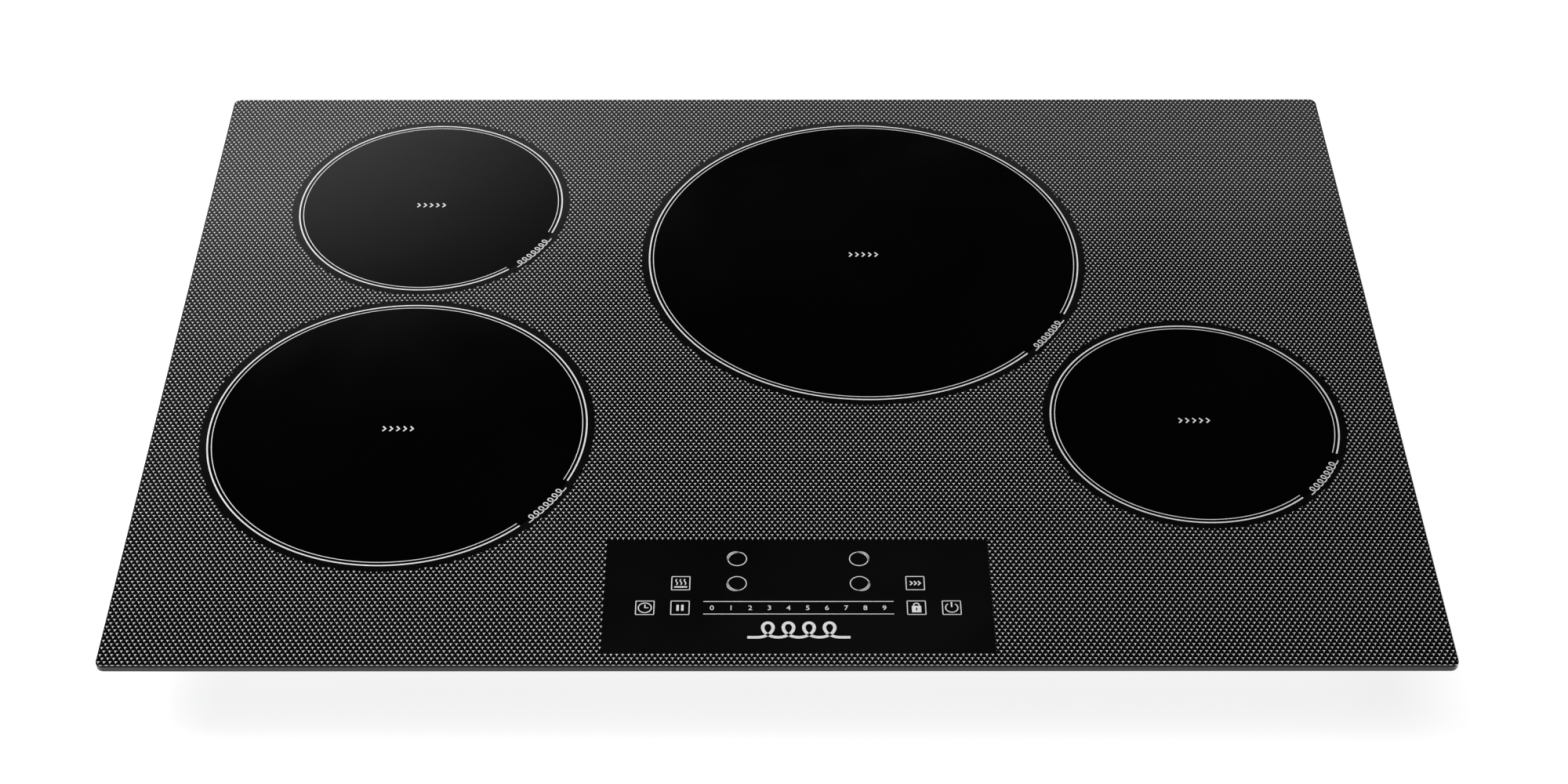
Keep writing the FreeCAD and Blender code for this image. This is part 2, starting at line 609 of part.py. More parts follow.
def post_places():
    places = []
    for sign in (-1, 1):
        for dx in ("- 1", "+ 1"):
            for dy in ("- 1", "+ 1"):
                places.append(("%d * board_x %s * (board_width / 2 - post_inset)" % (sign, dx),
                               "board_y %s * (board_depth / 2 - post_inset)" % dy))
    for dx in ("-1", "1"):
        for dy in ("- 1", "+ 1"):
            places.append((dx + " * (filter_width / 2 - post_inset)",
                           "filter_y %s * (filter_depth / 2 - post_inset)" % dy))
    return places


def boards():
    places = post_places()
    for index, (side, sign) in enumerate(SIDES):
        centre = ("%d * board_x" % sign, "board_y")
        holes = [("post_hole", spot) for spot in places[4 * index:4 * index + 4]]
        body = plate(side + "_power_board", "board_base", "board_thick",
                     [(("board_width", "board_depth"), centre)], holes)
        node(body, side + "_power_board")
    body = plate("filter_board", "board_base", "board_thick",
                 [(("filter_width", "filter_depth"), ("0", "filter_y"))],
                 [("post_hole", spot) for spot in places[8:]])
    node(body, "filter_board")
    film = plate("insulating_film", "film_base", "film_thick",
                 [(("film_width", "film_depth"), ("0", "film_y"))])
    node(film, "insulating_film")
    posts = []
    for index, (x, y) in enumerate(places):
        low = "film_base + film_thick"
        posts.append(fuse("post_%d" % index, [
            rod("post_foot_%d" % index, "post_radius", "board_base - film_base - film_thick", (x, y, low)),
            rod("post_pin_%d" % index, "post_pin", "board_thick + post_tip", (x, y, "board_base"))]))
    node(group("board_posts", posts), "board_posts")


def heatsink(side, sign):
    """Extrusion: a base, plain fins, and a thick fin at each side that the transistors bolt to."""
    x = "%d * sink_x" % sign
    pieces = [block(side + "_sink_base", ("sink_width", "sink_length", "sink_base"), (x, "sink_y", TOP))]
    count = int(value("fin_count"))
    for index in range(count):
        thick = "sink_wall" if index in (0, count - 1) else "fin_thick"
        offset = "(sink_width / 2 - sink_wall / 2) * %.4f" % (2.0 * index / (count - 1) - 1)
        pieces.append(block("%s_fin_%d" % (side, index), (thick, "sink_length", "sink_height"),
                            ("%s + %s" % (x, offset), "sink_y", TOP)))
    return node(fuse(side + "_heatsink", pieces), side + "_heatsink")


def transistors():
    """Flat power packages on the outer wall of each heatsink, with their three legs."""
    parts = []
    for side, sign in SIDES:
        for index in range(4):
            y = "sink_y + %g * package_pitch" % (index - 1.5)
            x = "%d * (sink_x + sink_width / 2 + package_thick / 2)" % sign
            tag = "%s_%d" % (side, index)
            pieces = [block("package_" + tag, ("package_thick", "package_width", "package_height"),
                            (x, y, TOP + " + package_rise"))]
            for leg in (-1, 0, 1):
                pieces.append(block("leg_%s_%d" % (tag, leg + 1), ("leg_thick", "leg_width", "leg_height"),
                                    (x, "%s + %d * leg_pitch" % (y, leg), TOP)))
            parts.append(fuse("transistor_" + tag, pieces))
    return node(group("power_transistors", parts), "power_transistors")


def rectifiers():
    parts = []
    for side, sign in SIDES:
        x = "%d * (sink_x - sink_width / 2 - bridge_thick / 2)" % sign
        y = "sink_y + bridge_shift"
        pieces = [block("bridge_" + side, ("bridge_thick", "bridge_width", "package_height"),
                        (x, y, TOP + " + bridge_rise"))]
        for leg in range(4):
            size = ("bridge_leg_thick", "bridge_leg_width", "package_rise")
            pieces.append(block("bridge_leg_%s_%d" % (side, leg), size,
                                (x, "%s + %g * bridge_leg_pitch" % (y, leg - 1.5), TOP)))
        parts.append(fuse("rectifier_" + side, pieces))
    return node(group("bridge_rectifiers", parts), "bridge_rectifiers")


def board_parts():
    """Tall components that stand on the boards."""
    films = [block("film_%s_%d" % (side, index), ("box_width", "box_depth", "box_height"),
                   ("%d * (board_x + box_x)" % sign, "board_y + box_y + %d * part_pitch" % index, TOP))
             for side, sign in SIDES for index in range(5)]
    films += [block("film_filter_%d" % index, ("small_box_width", "small_box_depth", "small_box_height"),
                    (x, "filter_y + small_box_y", TOP))
              for index, x in enumerate(("-50", "-10"))]
    node(group("film_capacitors", films), "film_capacitors")
    cans = [rod("can_%s_%d" % (side, index), "can_radius", "can_height",
                ("%d * (board_x - can_x)" % sign, "board_y + can_y + %d * part_pitch" % index, TOP))
            for side, sign in SIDES for index in range(4)]
    node(group("electrolytic_capacitors", cans), "electrolytic_capacitors")
    cores = [ring("choke_%s_%d" % (side, index), "choke_radius", "choke_wire",
                  ("%d * (board_x - choke_x)" % sign, "board_y + choke_y + %d * choke_pitch" % index,
                   TOP + " + choke_wire"))
             for side, sign in SIDES for index in range(2)]
    cores += [ring("choke_filter_%d" % index, "mains_choke_radius", "mains_choke_wire",
                   (x, "filter_y + mains_choke_y", TOP + " + mains_choke_wire"))
              for index, x in enumerate(("-50", "10"))]
    node(group("filter_chokes", cores), "filter_chokes")
    relays = [block("relay_%s_%d" % (side, index), ("relay_width", "relay_depth", "relay_height"),
                    ("%d * (board_x + %d)" % (sign, offset), "board_y + relay_y", TOP))
              for side, sign in SIDES for index, offset in enumerate((-5, 40))]
    relays.append(block("relay_filter", ("relay_width", "relay_depth", "mains_relay_height"),
                        ("mains_relay_x", "filter_y + mains_relay_y", TOP)))
    node(group("relays", relays), "relays")


# Blowers -------------------------------------------------------------------------------------

def blower(side, sign):
    """Flat radial blower: scroll housing, lid with the bearing shaft, bladed rotor."""
    x, y = "%d * fan_x" % sign, "fan_y"
    body = fuse(side + "_scroll", [
        rod(side + "_scroll_round", "fan_radius", "fan_height", (x, y, "fan_base")),
        block(side + "_scroll_duct", ("fan_radius * duct_share", "fan_radius", "fan_height"),
              (x, "fan_y + fan_radius / 2", "fan_base"))])
    room = fuse(side + "_room", [
        rod(side + "_room_round", "fan_radius - fan_wall", "fan_height", (x, y, "fan_base + fan_wall")),
        block(side + "_room_duct",
              ("fan_radius * duct_share - 2 * fan_wall", "fan_radius + duct_open", "fan_height"),
              (x, "fan_y + fan_radius / 2 + duct_open / 2", "fan_base + fan_wall"))])
    inlet = rod(side + "_inlet", "inlet_radius", "punch_depth", (x, y, "fan_base - fan_wall"))
    node(cut(side + "_blower_housing", body, [room, inlet]), side + "_blower_housing")
    lid_low = "fan_base + fan_height"
    node(fuse(side + "_blower_lid", [
        rod(side + "_lid_round", "fan_radius", "fan_wall", (x, y, lid_low)),
        block(side + "_lid_duct", ("fan_radius * duct_share", "fan_radius", "fan_wall"),
              (x, "fan_y + fan_radius / 2", lid_low)),
        rod(side + "_shaft", "shaft_radius", "fan_base + fan_height - rotor_base - shaft_rise",
            (x, y, "rotor_base + shaft_rise"))]), side + "_blower_lid")
    back = "rotor_base + rotor_height - rotor_disc"
    pieces = [rod(side + "_rotor_disc", "rotor_radius", "rotor_disc", (x, y, back)),
              rod(side + "_rotor_hub", "rotor_hub", "rotor_height - rotor_ring",
                  (x, y, "rotor_base + rotor_ring")),
              tube(side + "_rotor_ring", "rotor_radius", "rotor_radius - rotor_ring", "rotor_ring",
                   (x, y, "rotor_base"))]
    count = int(value("blade_count"))
    for index in range(count):
        blade = ("blade_length", "blade_thick", "rotor_height - blade_gap")
        pieces.append(spoke("%s_blade_%d" % (side, index), (x, y), index * 360.0 / count,
                            "rotor_radius - blade_length", blade, "rotor_base",
                            value("blade_lean") * sign))
    bore = rod(side + "_rotor_bore", "shaft_radius + run_gap", "rotor_height",
               (x, y, "rotor_base + bore_rise"))
    rotor = cut(side + "_blower_rotor", fuse(side + "_rotor_joined", pieces), [bore])
    node(rotor, side + "_blower_rotor")


# Control unit --------------------------------------------------------------------------------

ZONE_KEYS = [(x, y) for x in ("-22.8", "47.6") for y in ("upper_row", "lower_row")]
KEYS = (ZONE_KEYS + [(x, "square_row") for x in ("-55", "79.4")]
        + [(x, "key_row") for x in ("-75", "-55", "79.4", "99.4")]
        + [("key_first + %d * key_pitch" % index, "key_row") for index in range(10)])
DIGITS = ([(x, y) for x in ("0", "digit_pitch") for y in ("upper_row", "lower_row")]
          + [("-75", "square_row")])


def control_unit():
    """Tray, board, digit modules and touch pads, all hidden behind the printed panel."""
    centre = ("panel_x", "panel_y")
    tray = block("panel_tray", ("panel_width", "panel_depth", "panel_height"), centre + ("panel_base",))
    room = block("panel_room",
                 ("panel_width - 2 * panel_wall", "panel_depth - 2 * panel_wall", "panel_height"),
                 centre + ("panel_base + panel_wall",))
    rear = "panel_y + panel_depth / 2"
    notch = block("panel_opening", ("panel_notch", "punch_depth", "notch_height"),
                  ("panel_x", rear, "panel_base + panel_wall"))
    walls = cut("panel_walls", tray, [room, notch])
    spots = [("panel_x + %d * stand_x" % dx, "panel_y + %d * stand_y" % dy)
             for dx in (-1, 0, 1) for dy in (-1, 1)]
    stands = [rod("panel_stand_%d" % index, "stand_radius", "panel_board - panel_base - stand_sink",
                  (x, y, "panel_base + stand_sink"))
              for index, (x, y) in enumerate(spots)]
    node(fuse("control_housing", [walls] + stands), "control_housing")
    board = plate("control_board", "panel_board", "board_thick",
                  [(("panel_width - 2 * board_inset", "panel_depth - 2 * board_inset"), centre)])
    node(board, "control_board")
    top = "panel_board + board_thick"
    pads = [rod("pad_%d" % index, "key_radius", "glass_base - panel_board - board_thick", (x, y, top))
            for index, (x, y) in enumerate(KEYS)]
    node(group("touch_pads", pads), "touch_pads")
    digits = [block("digits_%d" % index, ("digit_width", "digit_depth", "digit_height"), (x, y, top))
              for index, (x, y) in enumerate(DIGITS)]
    node(group("digit_modules", digits), "digit_modules")


def ribbon_cable():
    """Flat lead from the control unit over the casing's step and down to the filter board."""
    rear = value("panel_y + panel_depth / 2 - ribbon_inset")
    front = value("filter_y - filter_depth / 2 + ribbon_end")
    low, high, thick = value(TOP + " + ribbon_low"), value("panel_base + ribbon_rise"), value("ribbon_thick")
    path = [(rear, high), (value("ribbon_bend"), high), (value("ribbon_foot"), low), (front, low)]
    upper = [Vector(0, y, z + thick) for y, z in reversed(path)]
    face = Part.Face(Part.makePolygon([Vector(0, y, z) for y, z in path] + upper + [Vector(0, *path[0])]))
    item = doc.addObject("Part::Feature", "ribbon_cable")
    item.Shape = face.extrude(Vector(value("ribbon_width"), 0, 0))
    item.Placement = Placement(Vector(value("panel_x - ribbon_width / 2"), 0, 0), Rotation())
    return node(item, "ribbon_cable")


# Mains connection ----------------------------------------------------------------------------

def terminal_box():
    """Open box in the rear wall, with a bezel outside it and two hinge ears."""
    back = "case_depth / 2"
    sleeve = block("mains_sleeve", ("mains_width", "mains_depth", "mains_height"),
                   ("0", back + " - mains_depth / 2", "mains_base"))
    bezel = block("mains_bezel",
                  ("mains_width + 2 * bezel_rim", "bezel_thick", "mains_height + 2 * bezel_side"),
                  ("0", back + " + bezel_thick / 2", "mains_base - bezel_side"))
    ears = []
    for side, sign in SIDES:
        x = "%d * (mains_width / 2 + ear_x)" % sign
        ears.append(block("ear_" + side, ("ear_width", "ear_depth", "ear_height"),
                          (x, back + " + bezel_thick / 2 + ear_depth / 2", "hinge_z - ear_height / 2")))
    room = block("mains_room",
                 ("mains_width - 2 * mains_wall", "mains_depth + room_reach",
                  "mains_height - 2 * mains_wall"),
                 ("0", back + " - mains_depth / 2 + mains_wall + room_reach / 2",
                  "mains_base + mains_wall"))
    pivot = rod("ear_hole", "pin_radius + run_gap", "2 * ear_hole_reach",
                ("-ear_hole_reach", "hinge_y", "hinge_z"), "X")
    side_way = rod("cord_way", "cord_radius", "2 * cord_reach",
                   ("mains_width / 2 - cord_reach", back + " - cord_inset", "gland_z"), "X")
    joined = fuse("mains_joined", [sleeve, bezel] + ears)
    return node(cut("terminal_box", joined, [room, pivot, side_way]), "terminal_box")


def terminal_block():
    """Five-way barrier block with its clamping screws."""
    poles = ["%d * pole_pitch" % index for index in range(-2, 3)]
    low, y = "mains_base + mains_wall", "case_depth / 2 - strip_inset"
    floor = low + " + strip_height - pit_depth"
    body = block("strip", ("strip_width", "strip_depth", "strip_height"), ("0", y, low))
    walls = [block("barrier_%d" % index, ("barrier_thick", "strip_depth", "barrier_height"),
                   ("%g * pole_pitch" % (index - 2.5), y, low))
             for index in range(6)]
    pits = [rod("pit_%d" % index, "pit_radius", "2 * pit_depth", (x, y, floor))
            for index, x in enumerate(poles)]
    node(cut("terminal_block", fuse("strip_joined", [body] + walls), pits), "terminal_block")
    screws = [cut("clamp_screw_%d" % index,
                  rod("clamp_head_%d" % index, "pole_radius", "pole_height", (x, y, floor)),
                  [block("clamp_slot_%d" % index, ("2 * pit_radius", "pole_slot", "pole_height"),
                         (x, y, floor + " + pole_slot_rise"))])
              for index, x in enumerate(poles)]
    node(group("terminal_screws", screws), "terminal_screws")


def terminal_cover():
    """Ribbed flap that hangs from two pins over the terminal box."""
    low = "mains_base - flap_drop"
    face = block("flap_face", ("flap_width", "flap_thick", "hinge_z - (%s)" % low),
                 ("0", "hinge_y - flap_gap", low))
    axis = ("hinge_y", "hinge_z")
    barrel = rod("flap_barrel", "barrel_radius", "flap_width", ("-flap_width / 2",) + axis, "X")
    pins = rod("flap_pins", "pin_radius", "flap_width + 2 * pin_reach",
               ("-flap_width / 2 - pin_reach",) + axis, "X")
    ribs = [block("flap_rib_%d" % index, ("flap_rib_thick", "flap_rib_depth", "flap_rib_height"),
                  ("%d * flap_rib_pitch" % index, "hinge_y", "mains_base + flap_rib_rise"))
            for index in range(-3, 4)]
    grip = block("flap_grip", ("grip_width", "grip_depth", "grip_thick"), ("0", "hinge_y + grip_reach", low))
    return node(fuse("terminal_cover", [face, barrel, pins, grip] + ribs), "terminal_cover")


def cable_gland():
    """Bush in the rear wall where the mains cord enters."""
    back = "case_depth / 2"
    at = ("gland_x", back + " - gland_reach", "gland_z")
    joined = fuse("gland_joined", [
        rod("gland_body", "gland_radius + gland_wall", "gland_reach + gland_flange", at, "Y"),
        rod("gland_collar", "gland_radius + gland_rim", "gland_flange", ("gland_x", back, "gland_z"), "Y")])
    bore = rod("gland_bore", "gland_radius", "2 * gland_reach", at, "Y")
    return node(cut("cable_gland", joined, [bore]), "cable_gland")


def mains_leads():
    """Three insulated wires from the terminal box down to the filter board."""
    start = Vector(0, value("case_depth / 2 - mains_depth"), value("mains_base + lead_rise"))
    board = Vector(0, value("filter_y + filter_depth / 2 - lead_inset"), value(TOP))
    bend = value("lead_bend")
    corner = Vector(0, board.y, start.z)
    level, upright_run = corner + Vector(0, bend, 0), corner - Vector(0, 0, bend)
    inside = bend * (1 - math.sqrt(0.5))
    turn = Part.Arc(level, corner + Vector(0, inside, -inside), upright_run)
    path = Part.Wire([Part.LineSegment(start, level).toShape(), turn.toShape(),
                      Part.LineSegment(upright_run, board).toShape()])
    section = Part.Wire(Part.Circle(start, Vector(0, 1, 0), value("lead_radius")).toShape())
    lead = path.makePipeShell([section], True, False)
    item = doc.addObject("Part::Feature", "mains_leads")
    pitch = value("lead_pitch")
    item.Shape = Part.makeCompound([lead.translated(Vector(x, 0, 0)) for x in (-pitch, 0, pitch)])
    return node(item, "mains_leads")


# Hold-down clamps ----------------------------------------------------------------------------

def clamp_brackets():
    """Brackets on the side walls: a back plate and a threaded lug that the clamp's screw runs in."""
    brackets = []
    for side, sign in SIDES:
        wall = "%d * (case_width / 2 + bracket_thick / 2)" % sign
        middle = "%d * (case_width / 2 + lug_reach / 2)" % sign
        pieces = [block("bracket_back_" + side, ("bracket_thick", "bracket_width", "bracket_height"),
                        (wall, "clamp_y", "bracket_base")),
                  block("bracket_lug_" + side, ("lug_reach", "lug_width", "lug_thick"),
                        (middle, "clamp_y", "clamp_lug"))]
        hole = rod("bracket_hole_" + side, "clamp_screw + run_gap", "3 * lug_thick",
                   ("%d * clamp_x" % sign, "clamp_y", "clamp_lug - lug_thick"))
        brackets.append(cut("bracket_" + side, fuse("bracket_joined_" + side, pieces), [hole]))
    return node(group("clamp_brackets", brackets), "clamp_brackets")


def clamp(side, sign):
    """Screw, washer and swinging arm. The arm is stowed along the wall, pointing forward."""
    x, y = "%d * clamp_x" % sign, "clamp_y"
    screw = fuse(side + "_screw_joined", [
        rod(side + "_screw_head", "clamp_head", "clamp_head_height", (x, y, "head_base")),
        rod(side + "_screw_shank", "clamp_screw", "clamp_lug",
            (x, y, "head_base + clamp_head_height - shank_sink")),
        rod(side + "_screw_clip", "clamp_screw + clip_rim", "clip_thick",
            (x, y, "arm_base + arm_height + clip_gap"))])
    depth = "head_base + cross_depth"
    recess = fuse(side + "_recess", [
        block(side + "_recess_wide", ("cross_length", "cross_width", depth), (x, y, "0")),
        block(side + "_recess_deep", ("cross_width", "cross_length", depth), (x, y, "0"))])
    node(cut(side + "_clamp_screw", screw, [recess]), side + "_clamp_screw")
    node(tube(side + "_clamp_washer", "washer_radius", "clamp_screw + run_gap", "washer_thick",
              (x, y, "arm_base - washer_thick - washer_gap")),
         side + "_clamp_washer")
    arm = fuse(side + "_arm_joined", [
        rod(side + "_arm_boss", "clamp_screw + arm_wall", "arm_height", (x, y, "arm_base")),
        block(side + "_arm_bar", ("arm_width", "arm_reach", "arm_thick"),
              (x, "clamp_y - arm_reach / 2", "arm_base")),
        rod(side + "_arm_tip", "tip_radius", "arm_height + tip_rise",
            (x, "clamp_y - arm_reach", "arm_base"))])
    bore = rod(side + "_arm_bore", "clamp_screw + run_gap", "arm_height + 2 * bore_margin",
               (x, y, "arm_base - bore_margin"))
    node(cut(side + "_clamp_arm", arm, [bore]), side + "_clamp_arm")


# The whole object ----------------------------------------------------------------------------

def build():
    glass_top()
    worktop_seal()
    glass_adhesive()
    support_frame()
    bottom_casing()
    casing_screws()
    coil_plates()
    plate_springs()
    for name in ZONES:
        coil_former(name)
        coil_winding(name)
        mica_sheet(name)
    ferrite_bars()
    zone_sensors()
    boards()
    for side, sign in SIDES:
        heatsink(side, sign)
        blower(side, sign)
        clamp(side, sign)
    transistors()
    rectifiers()
    board_parts()
    control_unit()
    ribbon_cable()
    terminal_box()
    terminal_block()
    terminal_cover()
    cable_gland()
    mains_leads()
    clamp_brackets()
    doc.recompute()


def check():
    """Stops if any object failed or any sub-part has no valid solid."""
    for item in doc.Objects:
        if "Invalid" in item.State or "Error" in item.State:
            raise RuntimeError("%s is %s" % (item.Label, item.State))
    for item in NODES:
        if item.Shape.isNull() or not item.Shape.isValid() or not item.Shape.Solids:
            raise RuntimeError("%s has no valid shape" % item.Label)


def export():
    os.makedirs("parts", exist_ok=True)
    for item in NODES:
        item.Shape.exportStep("parts/%s.step" % item.Label)
        print("%-28s %3d solids %12.1f mm3" % (item.Label, len(item.Shape.Solids), item.Shape.Volume))


build()
check()
export()
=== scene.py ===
"""Four-zone induction cooktop: printed glass, finishes, studio and camera around the CAD frame."""
import json
import math

import bmesh
import bpy
from mathutils import Matrix, Vector

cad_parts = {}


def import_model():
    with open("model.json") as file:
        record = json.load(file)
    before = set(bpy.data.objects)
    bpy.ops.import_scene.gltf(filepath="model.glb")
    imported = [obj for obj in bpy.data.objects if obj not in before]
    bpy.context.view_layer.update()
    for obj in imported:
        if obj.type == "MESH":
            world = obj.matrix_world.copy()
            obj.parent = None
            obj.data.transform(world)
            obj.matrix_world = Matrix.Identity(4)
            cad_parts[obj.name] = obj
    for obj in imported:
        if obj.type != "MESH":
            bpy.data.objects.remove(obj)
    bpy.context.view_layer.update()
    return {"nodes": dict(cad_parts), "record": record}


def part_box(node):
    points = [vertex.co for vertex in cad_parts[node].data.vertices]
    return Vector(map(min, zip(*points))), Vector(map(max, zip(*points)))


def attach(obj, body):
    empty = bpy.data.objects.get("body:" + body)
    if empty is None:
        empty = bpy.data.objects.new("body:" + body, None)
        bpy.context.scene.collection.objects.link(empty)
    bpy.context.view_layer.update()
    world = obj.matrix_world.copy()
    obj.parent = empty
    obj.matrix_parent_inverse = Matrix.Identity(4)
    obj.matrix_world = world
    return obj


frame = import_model()

MM = 0.001
BODY = "base"
HALF_TURN = math.pi
FULL_TURN = 2 * math.pi
QUARTER_TURN = math.pi / 2

# Light print fired onto the glass.
PRINT_THICK = 0.03 * MM
PITCH_X = 3.28 * MM
PITCH_Y = 2.664 * MM
LATTICE_SHIFT = -0.88 * MM
TRIANGLE_WIDTH = 1.95 * MM
TRIANGLE_DEPTH = 1.75 * MM
WAIST_WIDTH = 0.62 * MM
WAIST_DEPTH = 0.5 * MM
EDGE_MARGIN = 0.7 * MM
SMALLEST_CHIP = 0.05 * MM ** 2

# Points along the printed lines.
ARC_STEP = 1.5 * MM
CIRCLE_STEP = 0.4 * MM
FEWEST_STEPS = 8
SAME_PLACE = 1e-9
SHARPEST_MITRE = 0.3

# How dull the glass is: in the zones, on the ground in front, and on the ground at the back edge.
ZONE_GLOSS = 0.06
GROUND_GLOSS = 0.13
GROUND_SATIN = 0.27
SATIN_START = 0.3
GLASS_IOR = 1.5

# Zones and the radii of their outer rings.
ZONES = {
    "rear_left": 87.5 * MM,
    "front_left": 115 * MM,
    "rear_centre": 140 * MM,
    "front_right": 87.5 * MM,
}

# Zone rings: two lines, an unprinted halo, and a gap at the front right for the coil mark.
RING_LINE = 0.95 * MM
RING_STEP = 2.5 * MM
RING_INNER_LINE = 0.5 * MM
HALO = 5 * MM
GAP_ANGLE = math.radians(-34.6)
GAP_LENGTH = 46 * MM
MARK_LENGTH = 35 * MM
MARK_HEIGHT = 5 * MM
MARK_LINE = 0.7 * MM
MARK_LOOPS = 7
COIL_STEPS = 24
LEAD_STEPS = 4
BOOST_COUNT = 5
BOOST_PITCH = 4.2 * MM
BOOST_HEIGHT = 4.2 * MM
BOOST_LINE = 0.9 * MM
CHEVRON_DEPTH = 0.42

# Control panel: how far the unprinted field passes the control unit, then keys, slider and coil mark.
PANEL_SIDE = 4.7 * MM
PANEL_REAR = 0.6 * MM
PANEL_FRONT = 9.2 * MM
ROW_SPREAD = 2 * MM
KEY_SIZE = 10.9 * MM
KEY_CORNER = 0.6 * MM
THIN_LINE = 0.52 * MM
ICON_LINE = 0.62 * MM
ZONE_KEY_RADIUS = 5.4 * MM
HEAVY_SWELL = 0.6 * MM
HEAVY_LAP = math.radians(14)
HEAVY_STEP = 0.1
DIGIT_HEIGHT = 3.5 * MM
DIGIT_SPREAD = 0.02 * MM
DIGIT_CURVE_STEPS = 4
CAPITAL_SHARE = 0.7
SLIDER_LEFT = 4.9 * MM
SLIDER_RIGHT = 5.3 * MM
SLIDER_HALF = 4.8 * MM
SLIDER_LINE = 0.5 * MM
PANEL_MARK_LOOPS = 4
PANEL_MARK_LENGTH = 58 * MM
PANEL_MARK_HEIGHT = 13 * MM
PANEL_MARK_LINE = 1.9 * MM
PANEL_MARK_DROP = 17 * MM

# Points closer than this are one point of a CAD mesh, or of a digit.
CAD_WELD = 0.001 * MM
DIGIT_WELD = 0.002 * MM


def centre_of(node):
    """Middle of a CAD node's box."""
    low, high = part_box(node)
    return (low + high) / 2


def zone_place(zone):
    """Plan centre of a zone: that of its coil."""
    return centre_of(zone + "_coil_former").xy


def shells(mesh):
    """The separate shells of a mesh, as lists of points."""
    work = bmesh.new()
    work.from_mesh(mesh)
    bmesh.ops.remove_doubles(work, verts=work.verts, dist=CAD_WELD)
    seen = set()
    found = []
    for start in work.verts:
        if start in seen:
            continue
        seen.add(start)
        shell = [start]
        for vertex in shell:
            for edge in vertex.link_edges:
                other = edge.other_vert(vertex)
                if other not in seen:
                    seen.add(other)
                    shell.append(other)
        found.append([vertex.co.copy() for vertex in shell])
    work.free()
    return found


def islands(node):
    """Plan centres of the separate solids of a CAD node."""
    centres = []
    for shell in shells(frame["nodes"][node].data):
        xs = [point.x for point in shell]
        ys = [point.y for point in shell]
        centres.append(((min(xs) + max(xs)) / 2, (min(ys) + max(ys)) / 2))
    return centres


glass_low, glass_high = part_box("glass_top")
TOP = glass_high.z


# Materials ------------------------------------------------------------------------------------

# Wavelength of Blender's wave texture at a scale of 1.
WAVE_LENGTH = 0.314

PRINT_COLOUR = (0.57, 0.57, 0.565)
GLASS_BLACK = (0.0008, 0.0008, 0.0009)
ZONE_BLACK = (0.0002, 0.0002, 0.00025)
DUST_GREY = (0.0025, 0.0025, 0.0027)
ZINC_GREY = (0.5, 0.51, 0.52)
ZINC_DULL = (0.4, 0.4, 0.4)
OXIDE_BROWN = (0.35, 0.14, 0.06)
MICA_PALE = (0.75, 0.68, 0.52)
TRACE_GREEN = (0.12, 0.42, 0.2)
SOLDER_GREY = (0.75, 0.75, 0.7)
CAPACITOR_FLECK = (0.85, 0.75, 0.35)
RELAY_FLECK = (0.2, 0.35, 0.7)
PAPER_GREY = (0.4, 0.4, 0.4)
WHITE = (1, 1, 1)

# Finishes whose colour isn't the CAD's preview colour.
OWN_COLOURS = {"ceramic_glass": GLASS_BLACK, "galvanised_steel": ZINC_GREY}


class Nodes:
    """Short forms for building a node tree."""

    def __init__(self, tree):
        self.tree = tree

    def node(self, kind, **fields):
        made = self.tree.nodes.new(kind)
        for field, setting in fields.items():
            setattr(made, field, setting)
        return made

    def link(self, source, target):
        self.tree.links.new(source, target)

    def fit(self, source, low, high, start=0.0, stop=1.0, curve="LINEAR"):
        """Maps the range low..high to start..stop."""
        made = self.node("ShaderNodeMapRange", interpolation_type=curve)
        limits = {"From Min": low, "From Max": high, "To Min": start, "To Max": stop}
        for socket, number in limits.items():
            made.inputs[socket].default_value = number
        self.link(source, made.inputs["Value"])
        return made.outputs["Result"]

    def calc(self, operation, one, other):
        """A sum of two numbers or outputs; the operation is a math node's, such as ADD."""
        made = self.node("ShaderNodeMath", operation=operation)
        for socket, entry in zip(made.inputs, (one, other)):
            if isinstance(entry, (int, float)):
                socket.default_value = entry
            else:
                self.link(entry, socket)
        return made.outputs[0]


